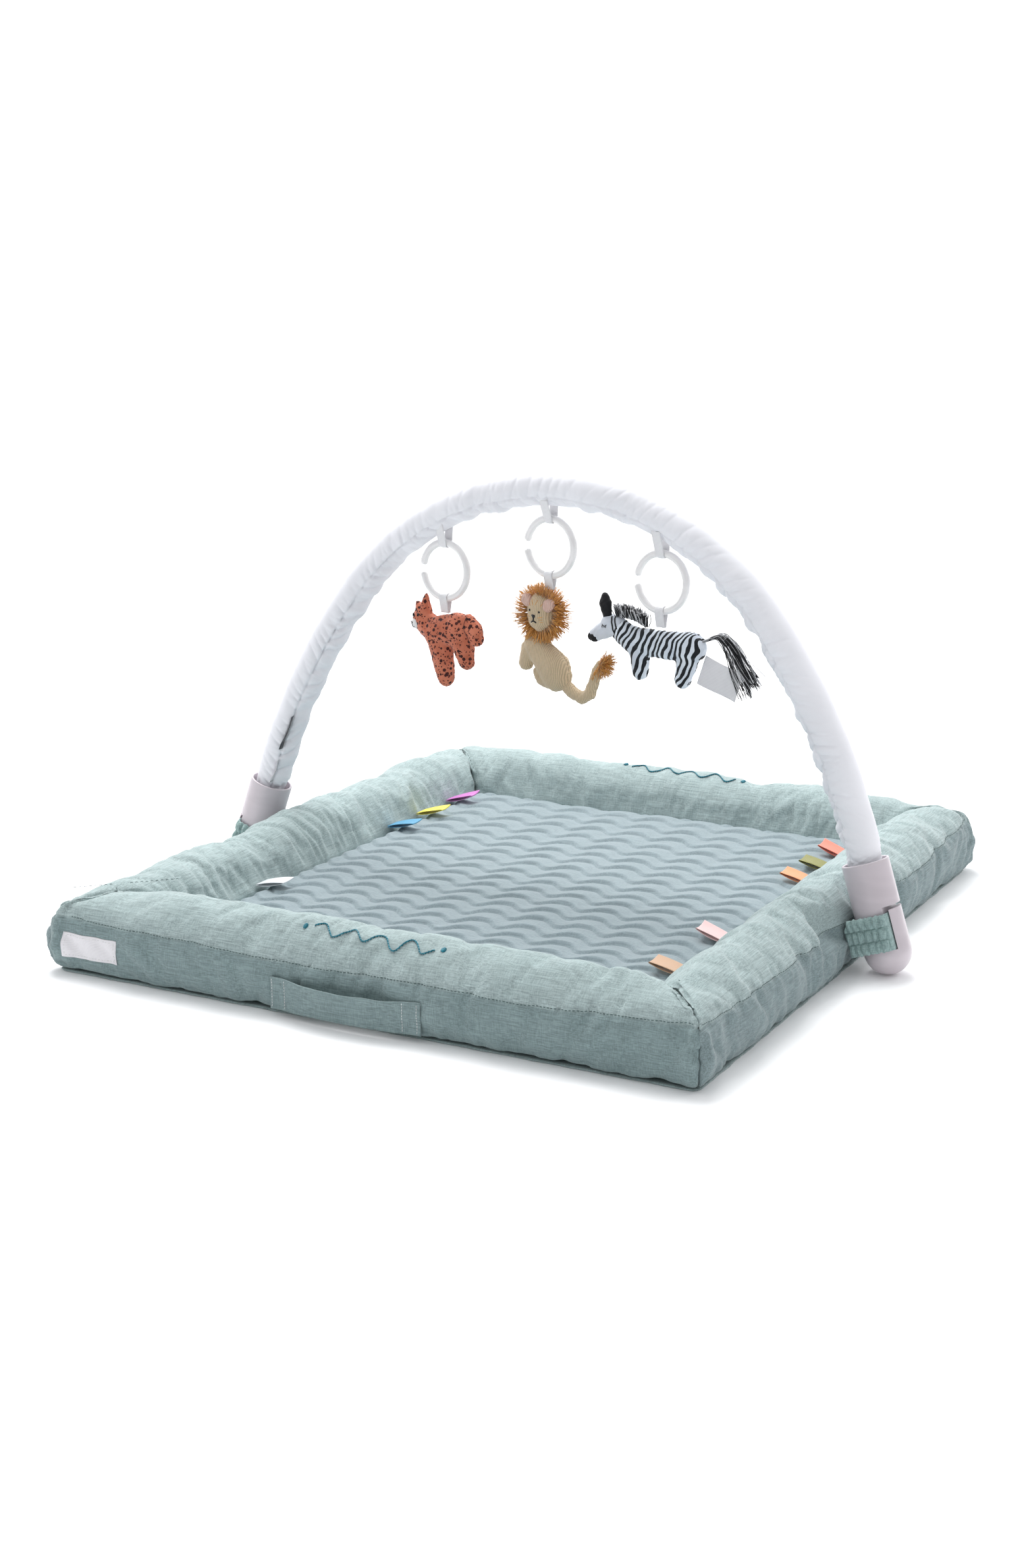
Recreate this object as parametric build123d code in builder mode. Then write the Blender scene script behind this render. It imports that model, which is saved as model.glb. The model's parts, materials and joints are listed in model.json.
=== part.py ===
from build123d import *
from math import asin, ceil, cos, radians, sin, sqrt, tan
import os

# Activity play gym: a padded mat, an arch on two hooked feet, and three rings with soft toys.
# Millimetres. X runs along the arch's span, Y towards the back, Z up, origin under the middle.

# --- Mat ---
mat_width = 740.0
mat_depth = 840.0
mat_corner = 18.0  # plan radius of the outer corners
bolster_width = 100.0
bolster_height = 92.0
bolster_top_round = 36.0
bolster_foot_round = 14.0
hem_thickness = 3.0
hem_reach = 2.0  # how far the hem stands out past the bolsters
cover_thickness = 1.5
quilt_top = 50.0
quilt_thickness = 6.0
soft_gap = 0.4  # between soft pieces that lie against each other

# --- Sewn trim ---
handle_length = 172.0
handle_height = 34.0
handle_middle_x = -10.0
handle_bottom = 8.0
handle_thickness = 2.0
handle_bulge = 9.0  # room for fingers behind the middle of the handle
label_width = 70.0
label_height = 26.0
label_thickness = 0.8
label_inset = 45.0  # from the mat's left side to the label's middle
label_bottom = 21.0
tag_width = 24.0
tag_length = 36.0
tag_thickness = 1.6
tag_lift = 14.0  # slope of a tag above the quilt, in degrees
tag_clearance = 2.0
sleeve_tag_width = 12.0
side_tag_length = 44.0
care_label_length = 36.0
# Tags, by their distance from the back inner corner, or from the front one where negative.
left_tag_places = {"magenta": 70.0, "yellow": 145.0, "blue": 215.0, "white": -140.0}
right_tag_places = {"coral": 85.0, "olive": 145.0, "orange": 205.0, "pink": -195.0, "tan": -80.0}

# --- Arch and its feet ---
arch_lean = 2.8  # degrees back from upright
arch_tilt_limit = 30.0  # degrees of tilt each way in the straps
leg_tilt = 18.2  # degrees inward from upright
leg_length = 129.0  # straight run from the foot's round end
shoulder_radius = 721.0
shoulder_turn = 19.8  # degrees
foot_gap = 7.4  # from the mat's side to a foot, at the height of its round end
foot_back = -9.0
cup_length = 97.5  # from the centre of the round end to the rim
cup_depth = 44.0
cup_wall = 2.8
cup_rib = 2.0
cup_rib_length = 36.0
cup_rib_root = 0.2  # how deep a rib is rooted in the cup's wall
finger_thickness = 7.0
slot_width = 5.0
slot_bottom = 3.0
slot_height = 42.0
slit_height = 4.0  # the way in to the slot, above the finger
tube_radius = 9.0
tube_wall = 1.8
tube_fit = 0.05
tube_start = 12.0
sleeve_radius = 19.0
sleeve_thickness = 1.2
sleeve_room = 3.5  # between the sleeve and the cup
sleeve_start = 66.0
foam_piece = 100.0  # longest length of foam tube that follows the bend
foam_joint = 0.1
side_tag_place = 171.0  # along the leg from the foot's round end
care_label_place = 119.0
foot_room = 2.0  # clearance of a foot from the bolster through its tilt
hollow_bottom = 12.0
hollow_spare = 32.0  # degrees that the hollow runs past the foot's middle at its limit
hollow_growth = 4.0  # degrees more for each millimetre of inset
rim_round = 1.2

# --- Elastic straps ---
strap_thickness = 2.4
strap_height = 38.0
strap_bottom = 4.0
strap_gap = 0.5
strap_corner = 4.0
strap_bend = 2.0

# --- Rings and their loops ---
ring_radius = 31.3
ring_wire = 4.2
ring_gap = 14.0  # degrees left open in a ring
ring_yaw = -9.0
ring_places = {"left": -140.0, "centre": -7.5, "right": 128.0}
hang_drop = 14.0  # sleeve to the middle of the ring's wire
ribbon_thickness = 0.8
ribbon_play = 1.0
loop_width = 11.0
ring_end_round = 0.9  # share of the wire's radius

# --- Toys ---
zebra_label_width = 54.0
zebra_label_height = 34.0
zebra_label_slope = 17.0  # degrees

foot_radius = sleeve_radius + sleeve_room + cup_wall
foot_reach = foot_radius / cos(radians(leg_tilt))
foot_spread = mat_width / 2 + foot_gap + foot_reach
pivot_height = foot_radius
strap_side = foot_radius + strap_gap + strap_thickness / 2
cavity_gap = cover_thickness + soft_gap
bolster_bottom = hem_thickness + soft_gap
made = {}


def keep(name, part):
    """Labels a finished piece and files it under its name."""
    part.label = name
    made[name] = part


# ---------------------------------------------------------------- mat


def foot_hollow(side, inset):
    """The room that a foot sweeps beside the mat as the arch tilts, grown inward by inset."""
    low, high = hollow_bottom, cup_length + foot_room
    far = foot_spread + foot_radius
    near_low = foot_spread - foot_reach - foot_room - inset - low * tan(radians(leg_tilt))
    near_high = foot_spread - foot_reach - foot_room - inset - high * tan(radians(leg_tilt))
    sweep_half = arch_tilt_limit + hollow_spare + hollow_growth * inset
    back = radians(sweep_half)
    start = Plane(
        origin=(0, foot_back, pivot_height),
        x_dir=(1, 0, 0),
        z_dir=(0, -cos(back), sin(back)),
    )
    with BuildPart() as hollow:
        with BuildSketch(start):
            with BuildLine():
                Polyline(
                    (side * near_low, low),
                    (side * near_high, high),
                    (side * far, high),
                    (side * far, low),
                    close=True,
                )
            make_face()
        revolve(axis=Axis((0, foot_back, pivot_height), (1, 0, 0)), revolution_arc=2 * sweep_half)
    return hollow.part


def bolster_form(length, place, inset):
    """A padded side with mitred ends and rounded edges, smaller by inset all round."""
    tall = bolster_height - bolster_bottom - 2 * inset
    mitre = (inset + soft_gap / 2) * sqrt(2)
    outer_half = length / 2 - mitre
    inner_half = outer_half - bolster_width
    with BuildPart() as straight:
        with BuildSketch(Plane.YZ.offset(-length / 2)):
            with Locations((bolster_width / 2, bolster_bottom + inset + tall / 2)):
                section = Rectangle(bolster_width - 2 * inset, tall)
            corners = section.vertices().group_by(Axis.Z)
            fillet(corners[0], bolster_foot_round - inset)
            fillet(corners[-1], bolster_top_round - inset)
        extrude(amount=length)
        with BuildSketch():
            with BuildLine():
                Polyline(
                    (-outer_half, 0),
                    (outer_half, 0),
                    (inner_half, bolster_width),
                    (-inner_half, bolster_width),
                    close=True,
                )
            make_face()
        extrude(amount=bolster_height, mode=Mode.INTERSECT)
    with BuildPart() as form:
        with Locations(place):
            add(straight.part)
        with BuildSketch():
            RectangleRounded(mat_width - 2 * inset, mat_depth - 2 * inset, mat_corner - inset)
        extrude(amount=bolster_height, mode=Mode.INTERSECT)
        if length == mat_depth:
            side = 1 if place.position.X > 0 else -1
            add(foot_hollow(side, inset), mode=Mode.SUBTRACT)
    return form.part


with BuildPart() as base_panel:
    with BuildSketch():
        RectangleRounded(mat_width + 2 * hem_reach, mat_depth + 2 * hem_reach, mat_corner + hem_reach)
    extrude(amount=hem_thickness)
keep("base_panel", base_panel.part)

well_width = mat_width - 2 * bolster_width - 2 * soft_gap
well_depth = mat_depth - 2 * bolster_width - 2 * soft_gap
wadding_height = quilt_top - quilt_thickness - 2 * soft_gap - hem_thickness

with BuildPart() as pad_wadding:
    with BuildSketch(Plane.XY.offset(hem_thickness + soft_gap)):
        Rectangle(well_width, well_depth)
    extrude(amount=wadding_height)
keep("pad_wadding", pad_wadding.part)

with BuildPart() as quilted_panel:
    with BuildSketch(Plane.XY.offset(quilt_top - quilt_thickness)):
        Rectangle(well_width, well_depth)
    extrude(amount=quilt_thickness)
    fillet(quilted_panel.faces().sort_by(Axis.Z)[-1].edges(), quilt_thickness / 3)
keep("quilted_panel", quilted_panel.part)

bolster_sides = {
    "front": (mat_width, Location((0, -mat_depth / 2, 0), (0, 0, 0))),
    "right": (mat_depth, Location((mat_width / 2, 0, 0), (0, 0, 90))),
    "back": (mat_width, Location((0, mat_depth / 2, 0), (0, 0, 180))),
    "left": (mat_depth, Location((-mat_width / 2, 0, 0), (0, 0, -90))),
}
for side_name, (side_length, side_place) in bolster_sides.items():
    with BuildPart() as bolster_cover:
        add(bolster_form(side_length, side_place, 0))
        add(bolster_form(side_length, side_place, cover_thickness), mode=Mode.SUBTRACT)
    keep("bolster_cover_" + side_name, bolster_cover.part)
    keep("bolster_fill_" + side_name, bolster_form(side_length, side_place, cavity_gap))

# ---------------------------------------------------------------- sewn trim

front_face = -mat_depth / 2
handle_back_y = front_face - soft_gap
with BuildPart() as carry_handle:
    with BuildSketch(Plane.XY.offset(handle_bottom)):
        with BuildLine():
            left_end = (handle_middle_x - handle_length / 2, handle_back_y)
            right_end = (handle_middle_x + handle_length / 2, handle_back_y)
            inner = ThreePointArc(left_end, (handle_middle_x, handle_back_y - handle_bulge), right_end)
            offset(inner, handle_thickness, side=Side.RIGHT)
        make_face()
    extrude(amount=handle_height)
keep("carry_handle", carry_handle.part)

with BuildPart() as front_label:
    label_middle = (
        label_inset - mat_width / 2,
        front_face - soft_gap - label_thickness / 2,
        label_bottom + label_height / 2,
    )
    with Locations(label_middle):
        Box(label_width, label_thickness, label_height)
keep("front_label", front_label.part)


def ribbon_tag(side, y):
    """A folded ribbon that leans in from the seam between a bolster and the quilt."""
    seam = side * (well_width / 2 - tag_clearance)
    lift = radians(tag_lift)
    base = Plane(
        origin=(seam, y, quilt_top + tag_clearance),
        x_dir=(0, side, 0),
        z_dir=(-side * cos(lift), 0, sin(lift)),
    )
    with BuildPart() as tag:
        with BuildSketch(base):
            Rectangle(tag_width, tag_thickness)
        extrude(amount=tag_length)
    return tag.part


for side, places in ((-1, left_tag_places), (1, right_tag_places)):
    for colour, place in places.items():
        inner_corner = well_depth / 2 if place > 0 else -well_depth / 2
        keep("tag_" + colour, ribbon_tag(side, inner_corner - place))

# ---------------------------------------------------------------- arch

lean = radians(arch_lean)
arch_plane = Plane(
    origin=(0, foot_back, pivot_height),
    x_dir=(1, 0, 0),
    z_dir=(0, -cos(lean), sin(lean)),
)
leg_rise = radians(90 - leg_tilt)
crown_start = radians(90 - leg_tilt - shoulder_turn)
shoulder_run = shoulder_radius * (sin(leg_rise) - sin(crown_start))
shoulder_lift = shoulder_radius * (cos(crown_start) - cos(leg_rise))
crown_half_span = foot_spread - leg_length * cos(leg_rise) - shoulder_run
crown_radius = crown_half_span / sin(crown_start)
crown_foot = leg_length * sin(leg_rise) + shoulder_lift
crown_centre = crown_foot - crown_radius * cos(crown_start)
crown_top = crown_centre + crown_radius


def arch_line(start):
    """The arch's middle line in its own plane, beginning at a distance along each leg."""
    with BuildLine() as line:
        right_leg = PolarLine((foot_spread, 0), leg_length, 90 + leg_tilt, mode=Mode.PRIVATE)
        leg_top = right_leg @ 1
        leg_start = right_leg.position_at(start, position_mode=PositionMode.LENGTH)
        crown_end = (crown_half_span, crown_foot)
        Line(leg_start, leg_top)
        TangentArc(leg_top, crown_end, tangent=right_leg % 1)
        ThreePointArc(crown_end, (0, crown_top), (-crown_half_span, crown_foot))
        crown_exit = (-cos(crown_start), -sin(crown_start))
        TangentArc((-crown_half_span, crown_foot), (-leg_top.X, leg_top.Y), tangent=crown_exit)
        Line((-leg_top.X, leg_top.Y), (-leg_start.X, leg_start.Y))
    return arch_plane * line.wire()


def arch_pipe(start, outer_radius, inner_radius):
    """A pipe along the arch."""
    path = arch_line(start)
    with BuildPart() as pipe:
        with BuildSketch(Plane(origin=path @ 0, z_dir=path % 0)):
            Circle(outer_radius)
            Circle(inner_radius, mode=Mode.SUBTRACT)
        sweep(path=path)
    return pipe.part


foam_outer = sleeve_radius - sleeve_thickness - soft_gap
foam_inner = tube_radius + soft_gap
keep("arch_tube", arch_pipe(tube_start, tube_radius, tube_radius - tube_wall))
with BuildPart() as arch_foam:
    for stretch in arch_line(sleeve_start).edges():
        count = ceil(stretch.length / foam_piece)
        joint = foam_joint / stretch.length
        for k in range(count):
            span = stretch.trim(k / count + joint, (k + 1) / count - joint)
            with BuildSketch(Plane(origin=span @ 0, z_dir=span % 0)):
                Circle(foam_outer)
                Circle(foam_inner, mode=Mode.SUBTRACT)
            sweep(path=span)
keep("arch_foam", arch_foam.part)
keep("arch_sleeve", arch_pipe(sleeve_start, sleeve_radius, sleeve_radius - sleeve_thickness))


def foot_plane(side, along):
    """A plane square to a foot's axis; its X points away from the mat."""
    axis = Vector(-side * sin(radians(leg_tilt)), 0, cos(radians(leg_tilt))).rotate(Axis.X, -arch_lean)
    outward = Vector(side * cos(radians(leg_tilt)), 0, sin(radians(leg_tilt))).rotate(Axis.X, -arch_lean)
    centre = Vector(side * foot_spread, foot_back, pivot_height)
    return Plane(origin=centre + axis * along, x_dir=outward, z_dir=axis)


slot_outer = foot_radius - finger_thickness
slot_inner = slot_outer - slot_width
slot_middle = (slot_outer + slot_inner) / 2
slot_top = slot_bottom + slot_height
cup_floor = cup_length - cup_depth

for side, side_name in ((-1, "left"), (1, "right")):
    base = foot_plane(side, 0)
    with BuildPart() as foot:
        with BuildSketch(base):
            Circle(foot_radius)
        extrude(amount=cup_length)
        with BuildSketch(Plane(origin=base.origin, x_dir=base.x_dir, z_dir=-base.y_dir)):
            with BuildLine():
                CenterArc((0, 0), foot_radius, -90, 90)
                Polyline((foot_radius, 0), (0, 0), (0, -foot_radius))
            make_face()
        revolve(axis=Axis(base.origin, base.z_dir))
        with BuildSketch(foot_plane(side, cup_floor)):
            Circle(foot_radius - cup_wall)
        extrude(amount=cup_depth, mode=Mode.SUBTRACT)
        with BuildSketch(foot_plane(side, tube_start - tube_fit)):
            Circle(tube_radius + tube_fit)
        extrude(amount=cup_length, mode=Mode.SUBTRACT)
        with BuildSketch(foot_plane(side, slot_bottom)):
            with Locations((slot_middle, 0)):
                Rectangle(slot_width, 2 * foot_radius)
        extrude(amount=slot_height + slit_height, mode=Mode.SUBTRACT)
        with BuildSketch(foot_plane(side, slot_top)):
            with Locations((slot_middle + foot_radius / 2, 0)):
                Rectangle(foot_radius, 2 * foot_radius)
        extrude(amount=slit_height, mode=Mode.SUBTRACT)
        with BuildSketch(foot_plane(side, cup_floor)):
            with PolarLocations(foot_radius - cup_wall - cup_rib / 2 + cup_rib_root, 4, start_angle=45):
                Rectangle(cup_rib, cup_rib)
        extrude(amount=cup_rib_length)
        rim = foot.faces().sort_by(Axis(base.origin, base.z_dir))[-1]
        fillet(rim.edges(), rim_round)
    keep("foot_" + side_name, foot.part)

    strap_corner_in = slot_middle - strap_corner
    mat_side = side * (mat_width / 2 + soft_gap)
    with BuildPart() as strap:
        with BuildSketch(foot_plane(side, strap_bottom)):
            with BuildLine():
                band = FilletPolyline(
                    (-2 * foot_radius, -strap_side),
                    (strap_corner_in, -strap_side),
                    (slot_middle, -strap_side + strap_corner),
                    (slot_middle, strap_side - strap_corner),
                    (strap_corner_in, strap_side),
                    (-2 * foot_radius, strap_side),
                    radius=strap_bend,
                )
            trace(lines=band, line_width=strap_thickness)
        extrude(amount=strap_height)
        with Locations((mat_side - side * mat_width / 2, 0, mat_width / 2)):
            Box(mat_width, mat_width, 2 * mat_width, mode=Mode.SUBTRACT)
    keep("strap_" + side_name, strap.part)

# ---------------------------------------------------------------- rings and toys

yaw = radians(ring_yaw)
along = Vector(cos(yaw), sin(yaw), 0)
across = Vector(sin(yaw), -cos(yaw), 0)


def arch_underside(x):
    """The lowest point of the sleeve over a place along the span."""
    slope = asin(x / crown_radius)
    height = crown_centre + crown_radius * cos(slope) - sleeve_radius / cos(slope)
    return arch_plane.from_local_coords((x, height, 0))


def ring_top(x):
    """The middle of a ring's wire where its ribbon loop holds it."""
    return arch_underside(x) - Vector(0, 0, hang_drop)


def hanging_plane(origin):
    """An upright plane in line with a ring, facing the front."""
    return Plane(origin=origin, x_dir=along, z_dir=across)


def ribbon_loop(origin, rise, fall):
    """A ribbon round a wire at origin, reaching up by rise or down by fall."""
    side_plane = Plane(origin=origin - along * loop_width / 2, x_dir=across, z_dir=along)
    middle = ring_wire + ribbon_play + ribbon_thickness / 2
    pinch = ribbon_thickness
    end = rise if rise else -fall
    turn = 1 if rise else -1
    with BuildPart() as loop:
        with BuildSketch(side_plane):
            with BuildLine():
                right_side = Line((pinch, end), (middle, turn * ring_wire))
                start, finish = (middle, turn * ring_wire), (-middle, turn * ring_wire)
                curve = ThreePointArc(start, (0, -turn * middle), finish)
                left_side = Line(finish, (-pinch, end))
            trace(lines=[right_side, curve, left_side], line_width=ribbon_thickness)
        extrude(amount=loop_width)
    return loop.part


def limb(plane, start, end, start_radius, end_radius):
    """A tapered round-ended stuffed limb between two points of an upright plane."""
    first = plane.from_local_coords((*start, 0))
    last = plane.from_local_coords((*end, 0))
    direction = (last - first).normalized()
    length = (last - first).length
    profile = Plane(origin=first, x_dir=plane.z_dir, z_dir=plane.z_dir.cross(direction))
    with BuildPart() as stuffed:
        with BuildSketch(profile):
            with BuildLine():
                CenterArc((0, 0), start_radius, -90, 90)
                Line((start_radius, 0), (end_radius, length))
                CenterArc((0, length), end_radius, 0, 90)
                Line((0, length + end_radius), (0, -start_radius))
            make_face()
        revolve(axis=Axis(first, direction))
    return stuffed.part


for name, x in ring_places.items():
    centre = ring_top(x) - Vector(0, 0, ring_radius)
    with BuildPart() as ring:
        with BuildLine(hanging_plane(centre)):
            bent_wire = CenterArc((0, 0), ring_radius, 180 + ring_gap / 2, 360 - ring_gap)
        with BuildSketch(Plane(origin=bent_wire @ 0, z_dir=bent_wire % 0)):
            Circle(ring_wire)
        sweep(path=bent_wire)
        ends = ring.faces().filter_by(GeomType.PLANE).edges()
        fillet(ends, ring_wire * ring_end_round)
    keep("ring_" + name, ring.part)
    with BuildPart() as hang_loop:
        add(ribbon_loop(ring_top(x), hang_drop + ring_wire, 0))
        add(arch_pipe(sleeve_start, sleeve_radius, foam_inner), mode=Mode.SUBTRACT)
    keep("hang_loop_" + name, hang_loop.part)


def toy_plane(name):
    """The upright plane of a toy, with its origin on the wire that it hangs from."""
    return hanging_plane(ring_top(ring_places[name]) - Vector(0, 0, 2 * ring_radius))


leopard = toy_plane("left")
with BuildPart() as leopard_body:
    add(limb(leopard, (-14, -38), (20, -32), 19, 20))
    add(limb(leopard, (-6, -46), (1, -92), 14, 10))
    add(limb(leopard, (26, -46), (30, -70), 13, 9.5))
    add(limb(leopard, (36, -26), (42, -40), 9, 10))
keep("leopard_body", leopard_body.part)

with BuildPart() as leopard_head:
    add(limb(leopard, (-27, -18), (-30, -30), 13, 13))
    add(limb(leopard, (-23, -14), (-21, -8), 7, 2.5))
    add(leopard_body.part, mode=Mode.SUBTRACT)
keep("leopard_head", leopard_head.part)

with BuildPart() as leopard_muzzle:
    add(limb(leopard, (-39, -33), (-41, -33), 7, 6))
    add(leopard_head.part, mode=Mode.SUBTRACT)
    add(leopard_body.part, mode=Mode.SUBTRACT)
keep("leopard_muzzle", leopard_muzzle.part)

lion = toy_plane("centre")
mane_centre = (-11, -42)
mane_radius = 33.0
mane_thickness = 16.0
head_radius = 19.0
with BuildPart() as lion_head:
    with Locations(lion.from_local_coords((*mane_centre, 0))):
        Sphere(head_radius)
keep("lion_head", lion_head.part)

with BuildPart() as lion_mane:
    mane_back = lion.from_local_coords((*mane_centre, -mane_thickness / 2))
    with BuildSketch(Plane(origin=mane_back, z_dir=across)):
        Circle(mane_radius)
        Circle(head_radius + soft_gap, mode=Mode.SUBTRACT)
    extrude(amount=mane_thickness)
keep("lion_mane", lion_mane.part)

with BuildPart() as lion_body:
    add(limb(lion, (-17, -84), (9, -108), 17, 20))
    add(limb(lion, (-29, -86), (-33, -102), 11, 9.5))
    add(limb(lion, (0, -116), (-14, -113), 11, 7.5))
    with BuildSketch(Plane(origin=lion.from_local_coords((*mane_centre, -mane_radius)), z_dir=across)):
        Circle(mane_radius + soft_gap)
    extrude(amount=2 * mane_radius, mode=Mode.SUBTRACT)
keep("lion_body", lion_body.part)

with BuildPart() as lion_tail:
    add(limb(lion, (22, -121), (42, -133), 8, 8))
    add(limb(lion, (42, -133), (56, -126), 8, 8))
    add(limb(lion, (56, -126), (64, -98), 8, 7))
    add(lion_body.part, mode=Mode.SUBTRACT)
keep("lion_tail", lion_tail.part)

with BuildPart() as lion_tuft:
    add(limb(lion, (72, -84), (76, -106), 8, 7))
    add(lion_tail.part, mode=Mode.SUBTRACT)
keep("lion_tuft", lion_tuft.part)

zebra = toy_plane("right")
with BuildPart() as zebra_body:
    add(limb(zebra, (-38, -34), (40, -35), 16, 17))
    add(limb(zebra, (-27, -44), (-27, -70), 13, 10))
    add(limb(zebra, (36, -44), (30, -73), 13, 10))
keep("zebra_body", zebra_body.part)

with BuildPart() as zebra_head:
    add(limb(zebra, (-44, -28), (-64, -20), 14, 13))
    add(limb(zebra, (-64, -22), (-88, -36), 12, 8))
    add(limb(zebra, (-72, -8), (-74, 4), 5, 5))
    add(zebra_body.part, mode=Mode.SUBTRACT)
keep("zebra_head", zebra_head.part)

with BuildPart() as zebra_mane:
    add(limb(zebra, (-60, -6), (-18, -15), 5, 5))
    add(zebra_body.part, mode=Mode.SUBTRACT)
    add(zebra_head.part, mode=Mode.SUBTRACT)
keep("zebra_mane", zebra_mane.part)

with BuildPart() as zebra_tail:
    add(limb(zebra, (52, -24), (84, -22), 5, 8))
    add(limb(zebra, (84, -22), (110, -50), 8, 9))
    add(limb(zebra, (110, -50), (116, -74), 9, 6))
    add(zebra_body.part, mode=Mode.SUBTRACT)
keep("zebra_tail", zebra_tail.part)

zebra_label_plane = Plane(
    origin=zebra.from_local_coords((78, -66, 0)),
    x_dir=along.rotate(Axis((0, 0, 0), across), -zebra_label_slope),
    z_dir=across,
)
with BuildPart() as zebra_label:
    with BuildSketch(zebra_label_plane):
        Rectangle(zebra_label_width, zebra_label_height)
    extrude(amount=label_thickness)
    add(zebra_body.part, mode=Mode.SUBTRACT)
    add(zebra_tail.part, mode=Mode.SUBTRACT)
keep("zebra_label", zebra_label.part)

toy_hangings = {
    "leopard": ("left", 24.0, ("leopard_body", "leopard_head")),
    "lion": ("centre", 24.0, ("lion_mane", "lion_head")),
    "zebra": ("right", 26.0, ("zebra_body", "zebra_mane")),
}
for name, (ring_name, drop, held) in toy_hangings.items():
    wire = ring_top(ring_places[ring_name]) - Vector(0, 0, 2 * ring_radius)
    with BuildPart() as ribbon:
        add(ribbon_loop(wire, 0, drop))
        for piece in held:
            add(made[piece], mode=Mode.SUBTRACT)
    keep(name + "_ribbon", ribbon.part)

# ---------------------------------------------------------------- tags on the sleeve


def sleeve_tag(distance, width, length, thickness):
    """A flat tag on the inner side of the left leg, at a distance along it from the foot."""
    path = arch_line(0)
    place = path.length - distance
    point = path.position_at(place, position_mode=PositionMode.LENGTH)
    tangent = path.tangent_at(place, position_mode=PositionMode.LENGTH)
    inward = arch_plane.z_dir.cross(tangent)
    face = Plane(origin=point + inward * (sleeve_radius + soft_gap), x_dir=tangent, z_dir=inward)
    with BuildPart() as tag:
        with BuildSketch(face):
            Rectangle(length, width)
        extrude(amount=thickness)
    return tag.part


keep("side_tag", sleeve_tag(side_tag_place, sleeve_tag_width, side_tag_length, tag_thickness))
keep("care_label", sleeve_tag(care_label_place, sleeve_tag_width, care_label_length, label_thickness))

os.makedirs("parts", exist_ok=True)
for name, part in made.items():
    export_step(part, "parts/" + name + ".step")
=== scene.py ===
import json
from math import atan2, ceil, cos, pi, radians, sin

import bmesh
import bpy
import numpy as np
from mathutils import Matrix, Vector
from mathutils.bvhtree import BVHTree


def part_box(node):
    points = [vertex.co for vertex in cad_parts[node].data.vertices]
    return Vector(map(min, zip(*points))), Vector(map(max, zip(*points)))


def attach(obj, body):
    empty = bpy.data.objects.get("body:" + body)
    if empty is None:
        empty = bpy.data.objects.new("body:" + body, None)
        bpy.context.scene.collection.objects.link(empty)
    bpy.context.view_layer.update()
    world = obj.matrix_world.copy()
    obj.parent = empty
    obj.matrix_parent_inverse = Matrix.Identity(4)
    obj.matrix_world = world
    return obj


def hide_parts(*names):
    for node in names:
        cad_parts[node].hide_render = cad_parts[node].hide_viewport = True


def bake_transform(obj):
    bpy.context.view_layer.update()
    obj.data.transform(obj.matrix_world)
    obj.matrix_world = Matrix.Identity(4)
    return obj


# The looks of an activity play gym: a padded mat, an arch in a gathered sleeve, rings and soft toys.
# Metres. X runs along the arch's span, Y towards the back, Z up.

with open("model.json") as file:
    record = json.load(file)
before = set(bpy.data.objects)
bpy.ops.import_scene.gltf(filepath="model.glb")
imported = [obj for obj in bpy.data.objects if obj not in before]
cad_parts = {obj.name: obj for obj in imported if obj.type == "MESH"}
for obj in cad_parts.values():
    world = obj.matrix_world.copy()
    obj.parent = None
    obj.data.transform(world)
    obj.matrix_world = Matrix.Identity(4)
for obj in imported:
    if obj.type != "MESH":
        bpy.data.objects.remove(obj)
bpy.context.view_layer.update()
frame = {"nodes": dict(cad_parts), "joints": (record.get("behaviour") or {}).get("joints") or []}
joints = {joint["name"]: joint for joint in frame["joints"]}

# ---------------------------------------------------------------- driving sizes

base_low, base_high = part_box("base_panel")
panel_low, panel_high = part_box("quilted_panel")
front_low, front_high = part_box("bolster_cover_front")
HALF_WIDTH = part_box("bolster_cover_right")[1].x
HALF_DEPTH = -front_low.y
BOLSTER = 0.100  # a padded side's width
BOLSTER_LOW = front_low.z
BOLSTER_TOP = front_high.z
QUILT_TOP = panel_high.z
CORNER = 0.018

PIVOT = Vector(joints["arch_tilt"]["pos_m"])
LEAN = radians(2.8)
LEG_TILT = radians(18.2)
LEG_LENGTH = 0.129
SHOULDER_RADIUS = 0.721
SHOULDER_TURN = radians(19.8)
FOOT_RADIUS = PIVOT.z
FOOT_SPREAD = HALF_WIDTH + 0.0074 + FOOT_RADIUS / cos(LEG_TILT)
SLEEVE_RADIUS = 0.0185
SLEEVE_START = 0.066
CUP_RIM = 0.0975

ring_yaw = atan2(joints["ring_centre_swing"]["axis"][1], joints["ring_centre_swing"]["axis"][0])
ALONG = np.array([cos(ring_yaw), sin(ring_yaw), 0.0])
ACROSS = np.array([sin(ring_yaw), -cos(ring_yaw), 0.0])
UP = np.array([0.0, 0.0, 1.0])
FRONTWARDS = np.array([0, -1.0, 0])
RING_WIRE = 0.0042
RIBBON_WIDTH = 0.011


# ---------------------------------------------------------------- small tools

def ripple(x, wavelength, seed):
    """An irregular smooth wave, about -1 to 1."""
    rng = np.random.default_rng(seed)
    total = np.zeros_like(x, dtype=float)
    for stretch, share in ((1.0, 0.45), (1.47, 0.3), (0.68, 0.25)):
        total += share * np.sin(2 * pi * x / (wavelength * stretch) + rng.uniform(0, 2 * pi))
    return total


def fold(x, wavelength, seed, sharpness=3.0):
    """Narrow valleys between broad puffs, 0 on the puffs and -1 in the valleys."""
    return -((1 - np.minimum(np.abs(ripple(x, 2 * wavelength, seed)) * 1.6, 1)) ** sharpness)


def bell(x, middle, width):
    return np.exp(-(((x - middle) / width) ** 2))


def ramp(x, low, high):
    """0 below low, 1 above high, smooth between them."""
    t = np.clip((x - low) / (high - low), 0, 1)
    return t * t * (3 - 2 * t)


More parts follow.
